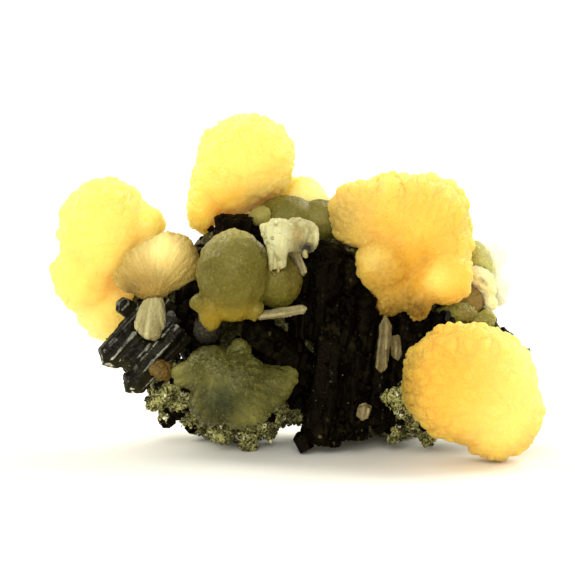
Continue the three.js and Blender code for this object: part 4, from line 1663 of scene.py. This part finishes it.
@dataclass
class Studio:
    """A white table with soft light from behind, above and in front, and the camera.

    Attributes:
        target: The point that the camera looks at.
        distance: How far away the camera stands.
        elevation: How far above the horizon it stands, in degrees.
        lens_mm: The focal length for a sensor 36 mm wide.
        backdrop: How bright the white surroundings look.
        ambient: How strongly the surroundings light the specimen.
        table: How much light the table sends back to the specimen, and how much to the eye.
        paper: The darkest and the brightest tint of the table top, a warm cream that is painted light:
            the far table is lit past white, so it shows mainly in the shadow, standing in for yellow
            light through the stilbite.
        table_half_m: Half the table's width, in metres.
        lights: The lamps.
    """

    target: Point = (-1.11, 0.05, 26.1)
    distance: float = 600.0
    elevation: float = 8.0
    lens_mm: float = 234.8
    backdrop: float = 1.0
    ambient: float = 0.4
    table: Range = (0.85, 0.97)
    paper: tuple[Colour, Colour] = ((0.99, 0.96, 0.82), (1.0, 0.97, 0.86))
    table_half_m: float = 4.0
    lights: tuple[SoftLight, ...] = (
        SoftLight("Back right light", azimuth=40.0, elevation=38.0, strength=2.9, spread=50.0),
        SoftLight("Back left light", azimuth=145.0, elevation=40.0, strength=2.2, spread=50.0),
        SoftLight("Front fill", azimuth=262.0, elevation=22.0, strength=2.5, spread=40.0),
    )

    PAPER_MOTTLE = {"Scale": 9.0, "Seed": 2.0}
    PAPER_ROUGHNESS = 0.9
    PAPER_GLOSS = 0.1
    WHITE = (1.0, 1.0, 1.0, 1.0)
    SENSOR_MM = 36.0
    SIGHT_M = 20.0

    def build(self) -> None:
        """Set the table, the lamps, the surroundings and the camera."""
        target = Vector(self.target) * MM
        for light in self.lights:
            light.build()
        self._table()
        self._surroundings()
        self._camera(target)

    def _table(self) -> None:
        """Lay the table top, which sends the specimen a little less light than the eye."""
        half = self.table_half_m
        corners = [(-half, -half, 0), (half, -half, 0), (half, half, 0), (-half, half, 0)]
        mesh = bpy.data.meshes.new("table_top")
        mesh.from_pydata(corners, [], [(0, 1, 2, 3)])
        material, lay, shader = blank_material("Table white")
        clouds = effect(lay, SharedEffect.MOTTLE, self.PAPER_MOTTLE).outputs["Mask"]
        seen = lay.add("LightPath").outputs["Is Camera Ray"]
        white = lay.between(seen, *self.table)
        # Painted light: the warm cream tint stands in for yellow light through the stilbite in the shadow
        # under the specimen.
        paper = lay.mix(clouds, *self.paper)
        lay.feed(shader.inputs["Base Color"], lay.mix(1.0, white, paper, blend="MULTIPLY"))
        shader.inputs["Roughness"].default_value = self.PAPER_ROUGHNESS
        shader.inputs["Specular IOR Level"].default_value = self.PAPER_GLOSS
        mesh.materials.append(material)
        table = shown("table_top", mesh)

    def _surroundings(self) -> None:
        """Make the surroundings white to look at and dimmer as a light."""
        world = bpy.data.worlds.new("White room")
        bpy.context.scene.world = world
        world.use_nodes = True
        lay = Tree(world.node_tree)
        background = world.node_tree.nodes["Background"]
        background.inputs["Color"].default_value = self.WHITE
        seen = lay.add("LightPath").outputs["Is Camera Ray"]
        lay.feed(background.inputs["Strength"], lay.between(seen, self.ambient, self.backdrop))

    def _camera(self, target: Vector) -> None:
        """Place the camera.

        Args:
            target: The point that it looks at, in metres.
        """
        data = bpy.data.cameras.new("Camera")
        data.lens = self.lens_mm
        data.sensor_width = self.SENSOR_MM
        data.clip_end = self.SIGHT_M
        camera = shown("Camera", data)
        angle = math.radians(self.elevation)
        camera.location = target + Vector((0.0, -math.cos(angle), math.sin(angle))) * self.distance * MM
        camera.rotation_euler = (target - camera.location).to_track_quat("-Z", "Y").to_euler()
        bpy.context.scene.camera = camera


def main() -> None:
    """Build the specimen and the studio."""
    logging.basicConfig(level=logging.INFO, format="%(name)s: %(message)s")
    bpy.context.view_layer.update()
    scene = bpy.context.scene
    scene.view_settings.view_transform = "Standard"
    Studio().build()
    Specimen().build()


if __name__ == "__main__":
    main()
